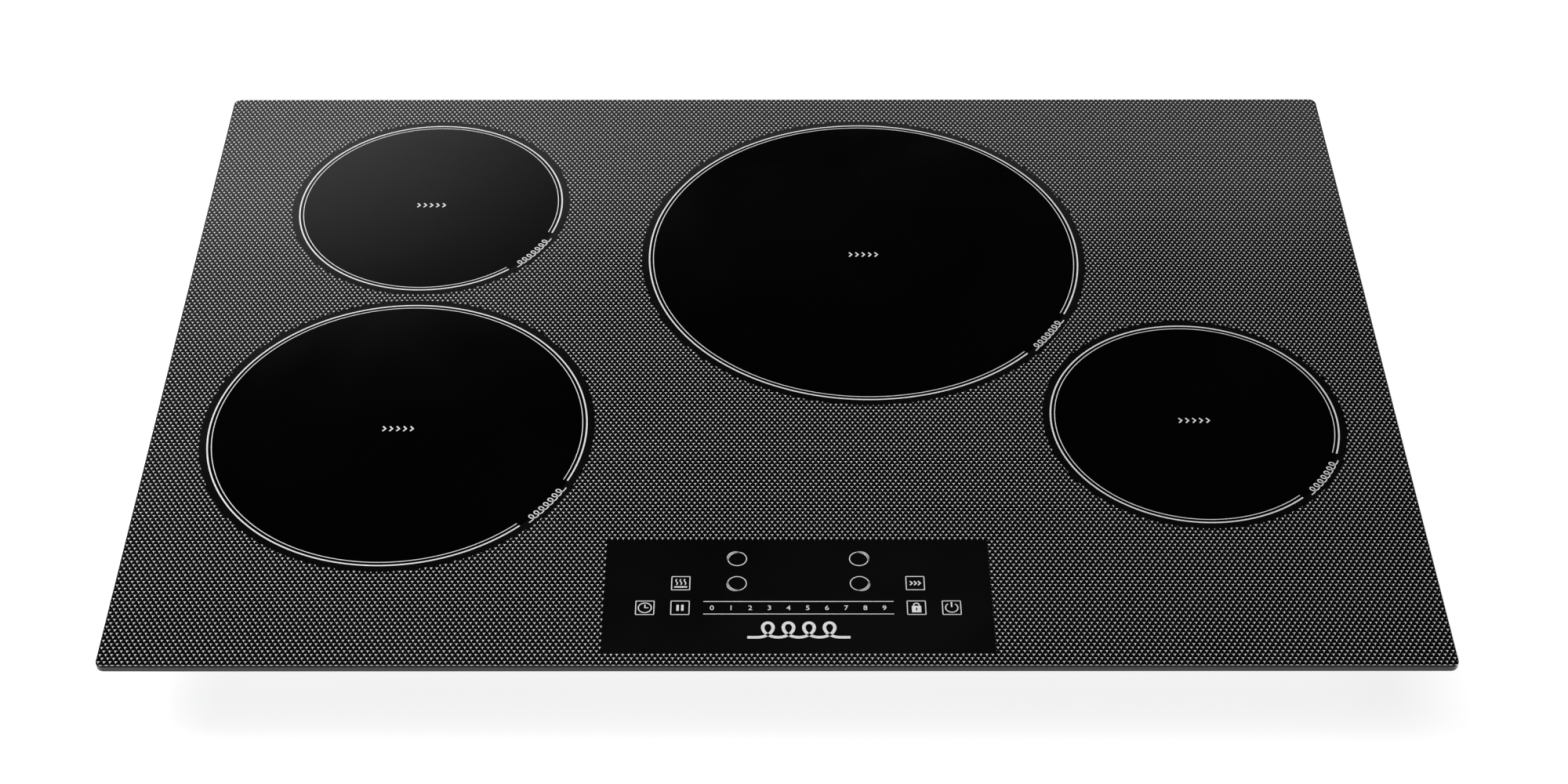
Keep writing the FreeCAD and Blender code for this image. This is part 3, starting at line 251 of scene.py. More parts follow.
class Finish(Nodes):
    """A Principled material and the few node tools that its detail needs."""

    def __init__(self, name, colour, roughness, metallic=0.0, **sockets):
        self.material = bpy.data.materials.new(name)
        self.material.use_nodes = True
        super().__init__(self.material.node_tree)
        self.shader = self.tree.nodes["Principled BSDF"]
        self.colour = tuple(colour[:3])
        self.put("Base Color", (*self.colour, 1))
        self.put("Roughness", roughness)
        self.put("Metallic", metallic)
        for socket, number in sockets.items():
            self.put(socket.replace("_", " "), number)
        self.place = self.tree.nodes.new("ShaderNodeTexCoord").outputs["Object"]

    def put(self, socket, number):
        self.shader.inputs[socket].default_value = number

    def stretched(self, stretch):
        mapping = self.node("ShaderNodeMapping")
        mapping.inputs["Scale"].default_value = stretch
        self.link(self.place, mapping.inputs["Vector"])
        return mapping.outputs["Vector"]

    def noise(self, size, detail=2.0, stretch=(1, 1, 1), distortion=0.0):
        """Noise whose features are about size metres across, before the stretch."""
        made = self.node("ShaderNodeTexNoise")
        made.inputs["Scale"].default_value = 1 / size
        made.inputs["Detail"].default_value = detail
        made.inputs["Distortion"].default_value = distortion
        self.link(self.stretched(stretch), made.inputs["Vector"])
        return made.outputs["Fac"]

    def cells(self, size, output="Distance", feature="F1", stretch=(1, 1, 1)):
        made = self.node("ShaderNodeTexVoronoi", feature=feature)
        made.inputs["Scale"].default_value = 1 / size
        self.link(self.stretched(stretch), made.inputs["Vector"])
        return made.outputs[output]

    def bands(self, size, axis, distortion=0.0):
        made = self.node("ShaderNodeTexWave", bands_direction=axis)
        made.inputs["Scale"].default_value = WAVE_LENGTH / size
        made.inputs["Distortion"].default_value = distortion
        self.link(self.place, made.inputs["Vector"])
        return made.outputs["Fac"]

    def tint(self, source, other):
        """Mixes from the colour so far to another one by a 0..1 source."""
        made = self.node("ShaderNodeMix", data_type="RGBA")
        before = self.shader.inputs["Base Color"]
        if before.is_linked:
            self.link(before.links[0].from_socket, made.inputs["A"])
        else:
            made.inputs["A"].default_value = (*self.colour, 1)
        made.inputs["B"].default_value = (*other, 1)
        self.link(source, made.inputs["Factor"])
        self.link(made.outputs["Result"], before)

    def shade(self, source, low):
        """Darkens the colour to a share of itself where the source is 0."""
        self.tint(self.fit(source, 0, 1, 1, 0), [channel * low for channel in self.colour])

    def gloss(self, source, low, high):
        """Varies the roughness by a 0..1 source."""
        self.link(self.fit(source, 0, 1, low, high), self.shader.inputs["Roughness"])

    def bump(self, source, height, strength=1.0):
        """Adds relief of a height in metres."""
        made = self.node("ShaderNodeBump")
        made.inputs["Strength"].default_value = strength
        made.inputs["Distance"].default_value = height
        before = self.shader.inputs["Normal"]
        if before.is_linked:
            self.link(before.links[0].from_socket, made.inputs["Normal"])
        self.link(source, made.inputs["Height"])
        self.link(made.outputs["Normal"], before)


def inside_zones(made):
    """1 within the zone rings, 0 elsewhere."""
    inside = 0.0
    for zone, radius in ZONES.items():
        away = made.node("ShaderNodeVectorMath", operation="DISTANCE")
        away.inputs[1].default_value = (*zone_place(zone), TOP)
        made.link(made.place, away.inputs[0])
        inside = made.calc("ADD", inside, made.calc("LESS_THAN", away.outputs["Value"], radius))
    return inside


def ceramic_glass(name, colour):
    """Clear gloss inside the zones; a satin ground elsewhere, duller at the back; faint smears and dust."""
    made = Finish(name, colour, GROUND_GLOSS, IOR=GLASS_IOR)
    zones = inside_zones(made)
    made.tint(zones, ZONE_BLACK)
    made.tint(made.fit(made.noise(0.6 * MM), 0.6, 0.8, stop=0.3), DUST_GREY)
    axes = made.node("ShaderNodeSeparateXYZ")
    made.link(made.place, axes.inputs[0])
    satin_from = glass_high.y * SATIN_START
    ground = made.fit(axes.outputs["Y"], satin_from, glass_high.y, GROUND_GLOSS, GROUND_SATIN)
    outside = made.calc("SUBTRACT", 1.0, zones)
    dull = made.calc("ADD", made.calc("MULTIPLY", ground, outside), made.calc("MULTIPLY", zones, ZONE_GLOSS))
    smear = made.fit(made.noise(90 * MM, detail=4, distortion=0.6), 0.35, 0.65, stop=0.03)
    made.gloss(made.calc("ADD", dull, smear), 0, 1)
    made.bump(made.noise(25 * MM, detail=1), 0.004 * MM)
    return made


def glass_print(name, colour):
    """Matt enamel, a little uneven."""
    made = Finish(name, colour, 0.42, IOR=GLASS_IOR)
    made.shade(made.fit(made.noise(1.2 * MM, detail=3), 0.4, 0.7), 0.78)
    made.gloss(made.noise(3 * MM), 0.3, 0.5)
    made.bump(made.noise(0.25 * MM), 0.01 * MM, 0.6)
    return made


def foam(name, colour, pore):
    """Matt foam with open pores, with painted shade in the pores."""
    made = Finish(name, colour, 0.9)
    # Painted shade: darker in the pores, where the bump below is lowest.
    made.shade(made.cells(pore), 0.45)
    made.bump(made.cells(pore), 0.25 * MM, 0.8)
    return made


def silicone(name, colour):
    """A hand-drawn bead with slow waves."""
    made = Finish(name, colour, 0.45)
    made.shade(made.noise(4 * MM), 0.6)
    made.bump(made.noise(6 * MM, detail=3), 0.15 * MM)
    return made


def galvanised(name, colour):
    """Zinc spangle with dull patches."""
    spangle = 9 * MM
    made = Finish(name, colour, 0.42, metallic=1.0)
    tone = made.node("ShaderNodeSeparateColor")
    made.link(made.cells(spangle, "Color"), tone.inputs["Color"])
    made.shade(tone.outputs["Red"], 0.72)
    made.tint(made.fit(made.noise(140 * MM, detail=4), 0.55, 0.75, stop=0.35), ZINC_DULL)
    made.gloss(tone.outputs["Green"], 0.32, 0.52)
    made.bump(made.cells(spangle, feature="DISTANCE_TO_EDGE"), 0.02 * MM, 0.4)
    made.bump(made.noise(0.8 * MM, detail=3), 0.015 * MM, 0.5)
    return made


def brushed(name, colour, roughness, stretch):
    """Metal with fine lines, which run along the axis where stretch is smallest."""
    made = Finish(name, colour, roughness, metallic=1.0)
    lines = made.noise(0.35 * MM, detail=3, stretch=stretch)
    made.shade(made.fit(lines, 0.3, 0.7), 0.75)
    made.gloss(made.fit(lines, 0.3, 0.7), roughness - 0.08, roughness + 0.1)
    made.bump(lines, 0.01 * MM, 0.5)
    return made


def moulded(name, colour, roughness, grain, depth=0.03 * MM):
    """Moulded plastic with a fine grain."""
    made = Finish(name, colour, roughness)
    made.shade(made.noise(35 * MM, detail=3), 0.82)
    made.gloss(made.noise(8 * MM, detail=3), roughness - 0.08, roughness + 0.08)
    made.bump(made.cells(grain), depth, 0.7)
    made.bump(made.noise(20 * MM), 0.05 * MM, 0.3)
    return made


def litz(name, colour):
    """Twisted strands of lacquered copper, with painted shade between the strands."""
    made = Finish(name, colour, 0.34, metallic=0.9)
    strands = made.bands(1.1 * MM, "DIAGONAL", 1.5)
    # Painted shade: darker between the strands, where the bump below is lowest.
    made.shade(strands, 0.45)
    made.tint(made.fit(made.noise(12 * MM), 0.5, 0.8, stop=0.5), OXIDE_BROWN)
    made.bump(strands, 0.2 * MM)
    return made


def copper_turns(name, colour):
    """Turns of wire, one above the other, with painted shade between the turns."""
    made = Finish(name, colour, 0.3, metallic=0.9)
    turns = made.bands(1.2 * MM, "Z", 0.6)
    # Painted shade: darker between the turns, where the bump below is lowest.
    made.shade(turns, 0.4)
    made.bump(turns, 0.3 * MM)
    return made


def mica(name, colour):
    """Pressed flakes."""
    made = Finish(name, colour, 0.35, Specular_IOR_Level=0.7)
    flakes = made.cells(3 * MM, stretch=(1, 1, 0.2))
    made.shade(flakes, 0.7)
    made.tint(made.fit(made.noise(9 * MM, detail=4), 0.5, 0.7, stop=0.6), MICA_PALE)
    made.bump(flakes, 0.05 * MM)
    return made


def mineral(name, colour, roughness, grain):
    """Sintered powder."""
    made = Finish(name, colour, roughness)
    made.shade(made.fit(made.noise(grain, detail=4), 0.35, 0.65), 0.6)
    made.gloss(made.noise(grain * 4), roughness - 0.1, roughness + 0.1)
    made.bump(made.noise(grain, detail=4), 0.05 * MM)
    return made


def circuit_board(name, colour):
    """Lacquered board with traces and round pads."""
    made = Finish(name, colour, 0.3, Coat_Weight=0.4, Coat_Roughness=0.15)
    traces = made.node("ShaderNodeTexBrick")
    traces.inputs["Scale"].default_value = 130
    traces.inputs["Mortar Size"].default_value = 0.035
    made.link(made.place, traces.inputs["Vector"])
    made.tint(made.fit(traces.outputs["Fac"], 0, 1, stop=0.7), TRACE_GREEN)
    made.tint(made.fit(made.cells(5 * MM), 0.12, 0.1), SOLDER_GREY)
    made.bump(traces.outputs["Fac"], 0.035 * MM)
    return made


def film(name, colour):
    """A sheet that lies a little wavy."""
    made = Finish(name, colour, 0.28)
    made.shade(made.noise(60 * MM, detail=3), 0.85)
    made.gloss(made.noise(15 * MM), 0.2, 0.38)
    made.bump(made.noise(40 * MM), 0.4 * MM)
    return made


def flecked_case(name, colour, roughness, fleck):
    """Glossy moulded case with flow marks and flecks."""
    made = Finish(name, colour, roughness, Coat_Weight=0.3, Coat_Roughness=0.2)
    made.shade(made.noise(10 * MM, detail=3, distortion=1), 0.75)
    made.tint(made.fit(made.noise(1.5 * MM), 0.62, 0.72, stop=0.4), fleck)
    made.bump(made.noise(0.4 * MM), 0.02 * MM)
    return made


def ribbon(name, colour):
    """Flat cable with its cores side by side, with painted shade between the cores."""
    made = Finish(name, colour, 0.5)
    cores = made.bands(1.27 * MM, "X")
    # Painted shade: darker between the cores, where the bump below is lowest.
    made.shade(cores, 0.55)
    made.bump(cores, 0.25 * MM)
    return made


def wire(name, colour):
    """Soft insulation."""
    made = Finish(name, colour, 0.38)
    made.shade(made.noise(6 * MM, detail=3), 0.7)
    made.gloss(made.noise(2 * MM), 0.3, 0.48)
    made.bump(made.noise(1.5 * MM), 0.05 * MM)
    return made


# Slot of the CAD, its finish and what the finish is told.
FINISHES = {
    "ceramic_glass": (ceramic_glass, {}),
    "seal_foam": (foam, {"pore": 0.7 * MM}),
    "touch_foam": (foam, {"pore": 0.5 * MM}),
    "silicone": (silicone, {}),
    "galvanised_steel": (galvanised, {}),
    "zinc_steel": (brushed, {"roughness": 0.3, "stretch": (1, 1, 6)}),
    "spring_steel": (brushed, {"roughness": 0.36, "stretch": (1, 1, 3)}),
    "aluminium_sheet": (brushed, {"roughness": 0.4, "stretch": (0.04, 1, 1)}),
    "heatsink_aluminium": (brushed, {"roughness": 0.38, "stretch": (1, 0.03, 1)}),
    "capacitor_can": (brushed, {"roughness": 0.34, "stretch": (1, 1, 0.05)}),
    "former_plastic": (moulded, {"roughness": 0.55, "grain": 0.5 * MM}),
    "litz_copper": (litz, {}),
    "choke_copper": (copper_turns, {}),
    "mica": (mica, {}),
    "ferrite": (mineral, {"roughness": 0.7, "grain": 0.5 * MM}),
    "sensor_ceramic": (mineral, {"roughness": 0.6, "grain": 0.3 * MM}),
    "circuit_board": (circuit_board, {}),
    "insulating_film": (film, {}),
    "white_nylon": (moulded, {"roughness": 0.42, "grain": 0.4 * MM, "depth": 0.015 * MM}),
    "blower_plastic": (moulded, {"roughness": 0.48, "grain": 0.45 * MM}),
    "package_resin": (moulded, {"roughness": 0.6, "grain": 0.25 * MM}),
    "terminal_plastic": (moulded, {"roughness": 0.46, "grain": 0.6 * MM, "depth": 0.05 * MM}),
    "terminal_resin": (moulded, {"roughness": 0.36, "grain": 0.4 * MM}),
    "tray_plastic": (moulded, {"roughness": 0.5, "grain": 0.5 * MM}),
    "film_capacitor": (flecked_case, {"roughness": 0.3, "fleck": CAPACITOR_FLECK}),
    "relay_case": (flecked_case, {"roughness": 0.25, "fleck": RELAY_FLECK}),
    "ribbon": (ribbon, {}),
    "wire": (wire, {}),
}


def dress_frame():
    """Gives every CAD node the finish of its slot."""
    materials = {}
    for entry in frame["record"]["materials"]:
        slot = entry["slot"]
        finish, settings = FINISHES[slot]
        colour = OWN_COLOURS.get(slot, entry["base_color"])
        materials[slot] = finish(slot, colour, **settings).material
    for part in frame["record"]["subparts"]:
        for slot in frame["nodes"][part["node"]].material_slots:
            slot.material = materials[part["material_slot"]]


dress_frame()
print_material = glass_print("glass_print", PRINT_COLOUR).material


# Print tools ----------------------------------------------------------------------------------

class Ink:
    """Closed flat-topped prints, laid on the glass and gathered into one piece."""

    def __init__(self):
        self.points = []
        self.faces = []

    def layer(self, line, z):
        first = len(self.points)
        self.points += [(x, y, z) for x, y in line]
        return list(range(first, len(self.points)))

    def patch(self, outline):
        """A filled shape from its outline, given anticlockwise."""
        low = self.layer(outline, TOP)
        high = self.layer(outline, TOP + PRINT_THICK)
        self.faces += [high, low[::-1]]
        for a in range(len(low)):
            b = (a + 1) % len(low)
            self.faces.append((low[a], low[b], high[b], high[a]))

    def strip(self, left, right, closed=False):
        """The area between two lines of equally many points; left lies to the left of right."""
        rails = [self.layer(line, z) for line in (left, right) for z in (TOP, TOP + PRINT_THICK)]
        left_low, left_high, right_low, right_high = rails
        count = len(left)
        for a in range(count if closed else count - 1):
            b = (a + 1) % count
            self.faces += [(right_high[a], right_high[b], left_high[b], left_high[a]),
                           (left_low[a], left_low[b], right_low[b], right_low[a]),
                           (left_high[a], left_high[b], left_low[b], left_low[a]),
                           (right_low[a], right_low[b], right_high[b], right_high[a])]
        if not closed:
            self.faces += [(left_low[0], right_low[0], right_high[0], left_high[0]),
                           (right_low[-1], left_low[-1], left_high[-1], right_high[-1])]

    def stroke(self, line, width, closed=False):
        """A line of even width with mitred corners."""
        points = [Vector(point) for point in line]
        count = len(points)
        left = []
        right = []
        for index, point in enumerate(points):
            before = points[index - 1] if closed or index else point
            after = points[(index + 1) % count] if closed or index < count - 1 else point
            ways = [way.normalized() for way in (point - before, after - point) if way.length > SAME_PLACE]
            along = sum(ways, Vector((0, 0))).normalized()
            across = Vector((-along.y, along.x))
            reach = width / 2 / max(SHARPEST_MITRE, along.dot(ways[0]))
            left.append(tuple(point + across * reach))
            right.append(tuple(point - across * reach))
        self.strip(left, right, closed)

    def piece(self, name):
        mesh = bpy.data.meshes.new(name)
        mesh.from_pydata(self.points, [], self.faces)
        mesh.update()
        add_print(name, mesh)


def add_print(name, mesh):
    """Puts a print on the glass."""
    made = bpy.data.objects.new(name, mesh)
    bpy.context.scene.collection.objects.link(made)
    mesh.materials.append(print_material)
    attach(made, BODY)


def arc(x, y, radius, start, stop, step=ARC_STEP):
    """Points along an arc, angles in radians, anticlockwise from +X."""
    count = max(FEWEST_STEPS, math.ceil(abs(stop - start) * radius / step))
    angles = [start + (stop - start) * i / count for i in range(count + 1)]
    return [(x + radius * math.cos(a), y + radius * math.sin(a)) for a in angles]


def circle(x, y, radius):
    return arc(x, y, radius, 0, FULL_TURN, CIRCLE_STEP)[:-1]


def rectangle(x, y, width, height):
    w, h = width / 2, height / 2
    return [(x - w, y - h), (x + w, y - h), (x + w, y + h), (x - w, y + h)]


def rounded(x, y, width, height, radius):
    w, h = width / 2 - radius, height / 2 - radius
    corners = [(x + w, y + h), (x - w, y + h), (x - w, y - h), (x + w, y - h)]
    return [point for i, corner in enumerate(corners)
            for point in arc(*corner, radius, i * QUARTER_TURN, (i + 1) * QUARTER_TURN, radius / 2)]


# Printed pattern ------------------------------------------------------------------------------

housing_low, housing_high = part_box("control_housing")
panel = (housing_low.x - PANEL_SIDE, glass_low.y + PANEL_FRONT,
         housing_high.x + PANEL_SIDE, housing_high.y + PANEL_REAR)
halos = [(*zone_place(zone), radius + HALO) for zone, radius in ZONES.items()]


def fences(x, y):
    """Half planes (normal, offset) that bound the pattern beside a place; inside is positive."""
    made = [((1, 0), glass_low.x + EDGE_MARGIN), ((-1, 0), -glass_high.x + EDGE_MARGIN),
            ((0, 1), glass_low.y + EDGE_MARGIN), ((0, -1), -glass_high.y + EDGE_MARGIN)]
    left, front, right, rear = panel
    edges = [(left - x, (-1, 0), -left), (x - right, (1, 0), right),
             (front - y, (0, -1), -front), (y - rear, (0, 1), rear)]
    made.append(max(edges)[1:])
    for cx, cy, radius in halos:
        away = Vector((x - cx, y - cy)).normalized()
        made.append((tuple(away), away.x * cx + away.y * cy + radius))
    return made


def clipped(outline, fence):
    """The part of an outline on the inside of a half plane; nothing if the fence splits it in more."""
    (nx, ny), offset = fence
    kept = []
    crossings = 0
    for i, (x, y) in enumerate(outline):
        u, v = outline[(i + 1) % len(outline)]
        here = nx * x + ny * y - offset
        there = nx * u + ny * v - offset
        if here >= 0:
            kept.append((x, y))
        if here * there < 0:
            crossings += 1
            share = here / (here - there)
            kept.append((x + (u - x) * share, y + (v - y) * share))
    return kept if crossings <= 2 else []


def area(outline):
    around = zip(outline, outline[1:] + outline[:1])
    return sum(a[0] * b[1] - b[0] * a[1] for a, b in around) / 2


def pattern():
    """Rows of small hollow-sided triangles over the whole glass but the zones and the panel."""
    quarters = {(left, front): Ink() for left in (True, False) for front in (True, False)}
    corners = [(-TRIANGLE_WIDTH / 2, 0), (-WAIST_WIDTH / 2, -WAIST_DEPTH), (0, -TRIANGLE_DEPTH),
               (WAIST_WIDTH / 2, -WAIST_DEPTH), (TRIANGLE_WIDTH / 2, 0)]
    first = math.floor((glass_low.y - panel[1]) / PITCH_Y)
    last = math.ceil((glass_high.y - panel[1]) / PITCH_Y) + 1
    across = math.ceil(glass_high.x / PITCH_X) + 1
    for row in range(first, last):
        y = panel[1] + row * PITCH_Y
        shift = LATTICE_SHIFT + (row % 2) * PITCH_X / 2
        for column in range(-across, across + 1):
            x = shift + column * PITCH_X
            outline = [(x + dx, y + dy) for dx, dy in corners]
            for fence in fences(x, y - TRIANGLE_DEPTH / 2):
                outline = clipped(outline, fence)
                if not outline:
                    break
            if area(outline) > SMALLEST_CHIP:
                quarters[x < 0, y < 0].patch(outline)
    for (left, front), ink in quarters.items():
        ink.piece("printed_pattern_" + ("front_" if front else "rear_") + ("left" if left else "right"))


# Signs ----------------------------------------------------------------------------------------

def coil_mark(place, loops, length, height, line):
    """The induction coil symbol, loops between two leads. place turns (along, up) into a point."""
    pitch = length / (loops + 1)
    lead = (length - loops * pitch) / 2
    radius = (height - line) / 2
    path = []
    for i in range(loops * COIL_STEPS + 1):
        turns = i / COIL_STEPS
        angle = HALF_TURN + FULL_TURN * turns
        path.append(((turns - loops / 2) * pitch - radius * math.sin(angle), radius * math.cos(angle)))
    first, last = [[(side * (length / 2 - lead * i / LEAD_STEPS), -radius) for i in range(LEAD_STEPS)]
                   for side in (-1, 1)]
    ink = Ink()
    ink.stroke([place(*point) for point in first + path + last[::-1]], line)
    return ink


def chevrons(ink, x, y, count, pitch, height, line):
    """A row of arrow heads pointing right."""
    depth = height * CHEVRON_DEPTH
    for index in range(count):
        tip = x + (index - (count - 1) / 2) * pitch + depth / 2
        ink.stroke([(tip - depth, y + height / 2), (tip, y), (tip - depth, y - height / 2)], line)


# Zone rings -----------------------------------------------------------------------------------

def zone_ring(zone, radius):
    """Two concentric lines with a gap."""
    half_gap = GAP_LENGTH / 2 / radius
    start, stop = GAP_ANGLE + half_gap, GAP_ANGLE - half_gap + FULL_TURN
    ink = Ink()
    ink.stroke(arc(*zone_place(zone), radius, start, stop), RING_LINE)
    ink.stroke(arc(*zone_place(zone), radius - RING_STEP, start, stop), RING_INNER_LINE)
    ink.piece(zone + "_ring")


def zone_mark(zone, radius):
    """The coil symbol bent along the ring's gap."""
    x, y = zone_place(zone)

    def place(along, up):
        angle = GAP_ANGLE + along / radius
        return (x + (radius - up) * math.cos(angle), y + (radius - up) * math.sin(angle))

    coil_mark(place, MARK_LOOPS, MARK_LENGTH, MARK_HEIGHT, MARK_LINE).piece(zone + "_coil_mark")


def zone_centre(zone):
    """Boost sign in the middle of a zone."""
    ink = Ink()
    chevrons(ink, *zone_place(zone), BOOST_COUNT, BOOST_PITCH, BOOST_HEIGHT, BOOST_LINE)
    ink.piece(zone + "_boost_mark")


# Control panel --------------------------------------------------------------------------------

def key_rows():
    """Touch pad centres, row by row from the rear, each from left to right."""
    rows = {}
    for x, y in islands("touch_pads"):
        rows.setdefault(round(y / ROW_SPREAD), []).append((x, y))
    return [sorted(rows[key]) for key in sorted(rows, reverse=True)]


def zone_key(ink, x, y, quarter):
    """Circle with a heavy quarter that shows which zone it selects."""
    ink.stroke(circle(x, y, ZONE_KEY_RADIUS), THIN_LINE, closed=True)
    start = quarter * QUARTER_TURN - HEAVY_LAP
    stop = (quarter + 1) * QUARTER_TURN + HEAVY_LAP
    middle = arc(0, 0, 1, start, stop, HEAVY_STEP)
    inner = []
    outer = []
    for i, (dx, dy) in enumerate(middle):
        half = THIN_LINE / 2 + HEAVY_SWELL * math.sin(math.pi * i / (len(middle) - 1))
        inner.append((x + dx * (ZONE_KEY_RADIUS - half), y + dy * (ZONE_KEY_RADIUS - half)))
        outer.append((x + dx * (ZONE_KEY_RADIUS + half), y + dy * (ZONE_KEY_RADIUS + half)))
    ink.strip(inner, outer)


def key_frame(ink, x, y):
    inner_size = KEY_SIZE - 2 * THIN_LINE
    outer = rounded(x, y, KEY_SIZE, KEY_SIZE, KEY_CORNER)
    inner = rounded(x, y, inner_size, inner_size, KEY_CORNER / 2)
    ink.strip(inner, outer, closed=True)


def keep_warm_icon(ink, x, y):
    """Three waves of warm air over a plate."""
    spread, sway, rise, foot, steps = 2.4 * MM, 0.5 * MM, 0.55 * MM, 1.2 * MM, 8
    plate_drop, plate_width, plate_thick = 2.9 * MM, 7.4 * MM, 1 * MM
    for dx in (-spread, 0, spread):
        wave = [(x + dx + sway * math.sin(i * FULL_TURN / steps), y - foot + rise * i)
                for i in range(steps + 1)]
        ink.stroke(wave[::-1], ICON_LINE)
    ink.patch(rectangle(x, y - plate_drop, plate_width, plate_thick))


def high_heat_icon(ink, x, y):
    """Three arrow heads."""
    count, pitch, height, line = 3, 2.3 * MM, 3.2 * MM, 0.75 * MM
    chevrons(ink, x, y, count, pitch, height, line)


def timer_icon(ink, x, y):
    """Clock face with two hands."""
    radius, long_hand, short_hand = 3.7 * MM, 2.5 * MM, 2.1 * MM
    ink.stroke(circle(x, y, radius), ICON_LINE, closed=True)
    ink.stroke([(x, y + long_hand), (x, y), (x + short_hand, y)], ICON_LINE)


def pause_icon(ink, x, y):
    """Two bars."""
    spread, width, height = 1.35 * MM, 1.35 * MM, 4.6 * MM
    for dx in (-spread, spread):
        ink.patch(rectangle(x + dx, y, width, height))


def lock_icon(ink, x, y):
    """Padlock with a keyhole."""
    drop, half_width, half_height = 1.1 * MM, 2.65 * MM, 2.45 * MM
    hole_half_width, hole_half_height = 0.42 * MM, 1.0 * MM
    bow_radius, bow_rise, bow_foot, bow_line, bow_step = 1.55 * MM, 0.5 * MM, 2.5 * MM, 0.7 * MM, 0.3 * MM
    spokes = 32
    cy = y - drop

    def box_edge(angle, half_x, half_y):
        """Where a ray from the middle leaves a box."""
        c, s = math.cos(angle), math.sin(angle)
        reach = min(half_x / max(abs(c), SAME_PLACE), half_y / max(abs(s), SAME_PLACE))
        return (x + reach * c, cy + reach * s)

    corner = math.atan2(half_height, half_width)
    corners = [corner, HALF_TURN - corner, HALF_TURN + corner, FULL_TURN - corner]
    angles = sorted(corners + [FULL_TURN * i / spokes for i in range(spokes)])
    hole = [box_edge(a, hole_half_width, hole_half_height) for a in angles]
    body = [box_edge(a, half_width, half_height) for a in angles]
    ink.strip(hole, body, closed=True)
    foot = cy + bow_foot
    bow = arc(x, foot + bow_rise, bow_radius, 0, HALF_TURN, bow_step)
    ink.stroke([(x + bow_radius, foot)] + bow + [(x - bow_radius, foot)], bow_line)


def power_icon(ink, x, y):
    """Open circle with a bar at the top."""
    radius, half_gap = 3.5 * MM, math.radians(35)
    bar_rise, bar_width, bar_height = 2.4 * MM, 0.85 * MM, 3.8 * MM
    start, stop = QUARTER_TURN + half_gap, QUARTER_TURN - half_gap + FULL_TURN
    ink.stroke(arc(x, y, radius, start, stop, CIRCLE_STEP), ICON_LINE)
    ink.patch(rectangle(x, y + bar_rise, bar_width, bar_height))


def digit_mesh(number, x, y):
    """A number in Blender's own font, centred on a place."""
    text = bpy.data.curves.new("digit", "FONT")
    text.body = str(number)
    text.align_x = "CENTER"
    text.size = DIGIT_HEIGHT / CAPITAL_SHARE
    text.extrude = PRINT_THICK / 2
    text.offset = DIGIT_SPREAD
    text.resolution_u = DIGIT_CURVE_STEPS
    holder = bpy.data.objects.new("digit", text)
    bpy.context.scene.collection.objects.link(holder)
    seen = holder.evaluated_get(bpy.context.evaluated_depsgraph_get())
    mesh = bpy.data.meshes.new_from_object(seen)
    mesh.transform(Matrix.Translation((x, y - DIGIT_HEIGHT / 2, TOP + PRINT_THICK / 2)))
    bpy.data.objects.remove(holder)
    return mesh


def slider_digits(places):
    """The slider's numbers, gathered into one piece."""
    work = bmesh.new()
    for number, (x, y) in enumerate(places):
        digit = digit_mesh(number, x, y)
        work.from_mesh(digit)
        bpy.data.meshes.remove(digit)
    bmesh.ops.remove_doubles(work, verts=work.verts, dist=DIGIT_WELD)
    bmesh.ops.recalc_face_normals(work, faces=work.faces)
    made = bpy.data.meshes.new("slider_digits")
    work.to_mesh(made)
    work.free()
    add_print("slider_digits", made)


def control_panel():
    """Zone keys, framed keys with their signs, slider with its numbers, and the coil mark."""
    rear_row, middle_row, front_row = key_rows()
    # Quarters are counted anticlockwise from the rear right one.
    quarters = (1, 0, 2, 3)
    zone_keys = Ink()
    for (x, y), quarter in zip(rear_row + middle_row[1:3], quarters):
        zone_key(zone_keys, x, y, quarter)
    zone_keys.piece("zone_keys")

    frames = Ink()
    icons = Ink()
    squares = [middle_row[0], middle_row[3], front_row[0], front_row[1], front_row[-2], front_row[-1]]
    signs = [keep_warm_icon, high_heat_icon, timer_icon, pause_icon, lock_icon, power_icon]
    for (x, y), sign in zip(squares, signs):
        key_frame(frames, x, y)
        sign(icons, x, y)
    frames.piece("key_frames")
    icons.piece("key_icons")

    scale = front_row[2:-2]
    left, right = scale[0][0] - SLIDER_LEFT, scale[-1][0] + SLIDER_RIGHT
    middle, level = (left + right) / 2, scale[0][1]
    lines = Ink()
    for dy in (SLIDER_HALF, -SLIDER_HALF):
        lines.patch(rectangle(middle, level + dy, right - left, SLIDER_LINE))
    lines.piece("slider_lines")
    slider_digits(scale)

    def place(along, up):
        return (middle + along, level - PANEL_MARK_DROP + up)

    mark = coil_mark(place, PANEL_MARK_LOOPS, PANEL_MARK_LENGTH, PANEL_MARK_HEIGHT, PANEL_MARK_LINE)
    mark.piece("panel_coil_mark")


pattern()
for zone, radius in ZONES.items():
    zone_ring(zone, radius)
    zone_mark(zone, radius)
    zone_centre(zone)
control_panel()


# Studio ---------------------------------------------------------------------------------------

# Strengths of the room's parts, and the elevations and bearings, in degrees, between which each fades in.
# Bearings are counted to the left of straight ahead. AHEAD and LEAST_AHEAD are shares of a way's length
# that point straight ahead.
ROOM_LIGHT = 0.01
CEILING_LIGHT = 2.2
CEILING_EDGE = (50, 68)
WINDOW_LIGHT = 1.1
WINDOW_TOP = (41.6, 34.5)
WINDOW_SIDE = (0.5, 13)
WALL_LIGHT = 1.4
WALL_TOP = (36.3, 33)
WALL_SIDE = (-34, -26)
BAND_LOW = (26, 31)
BAND_LEFT = (34, 26)
AHEAD = (0.0, 0.3)
LEAST_AHEAD = 0.01
BACKDROP_LIGHT = 1.22
KEY_PLACE = (-0.8, 0.35, 1.3)
KEY_TARGET = (-0.05, 0, 0)
KEY_SIDE = 1.3
KEY_POWER = 34
FLOOR_HALF = 6.0
FLOOR_GLOW = 0.8

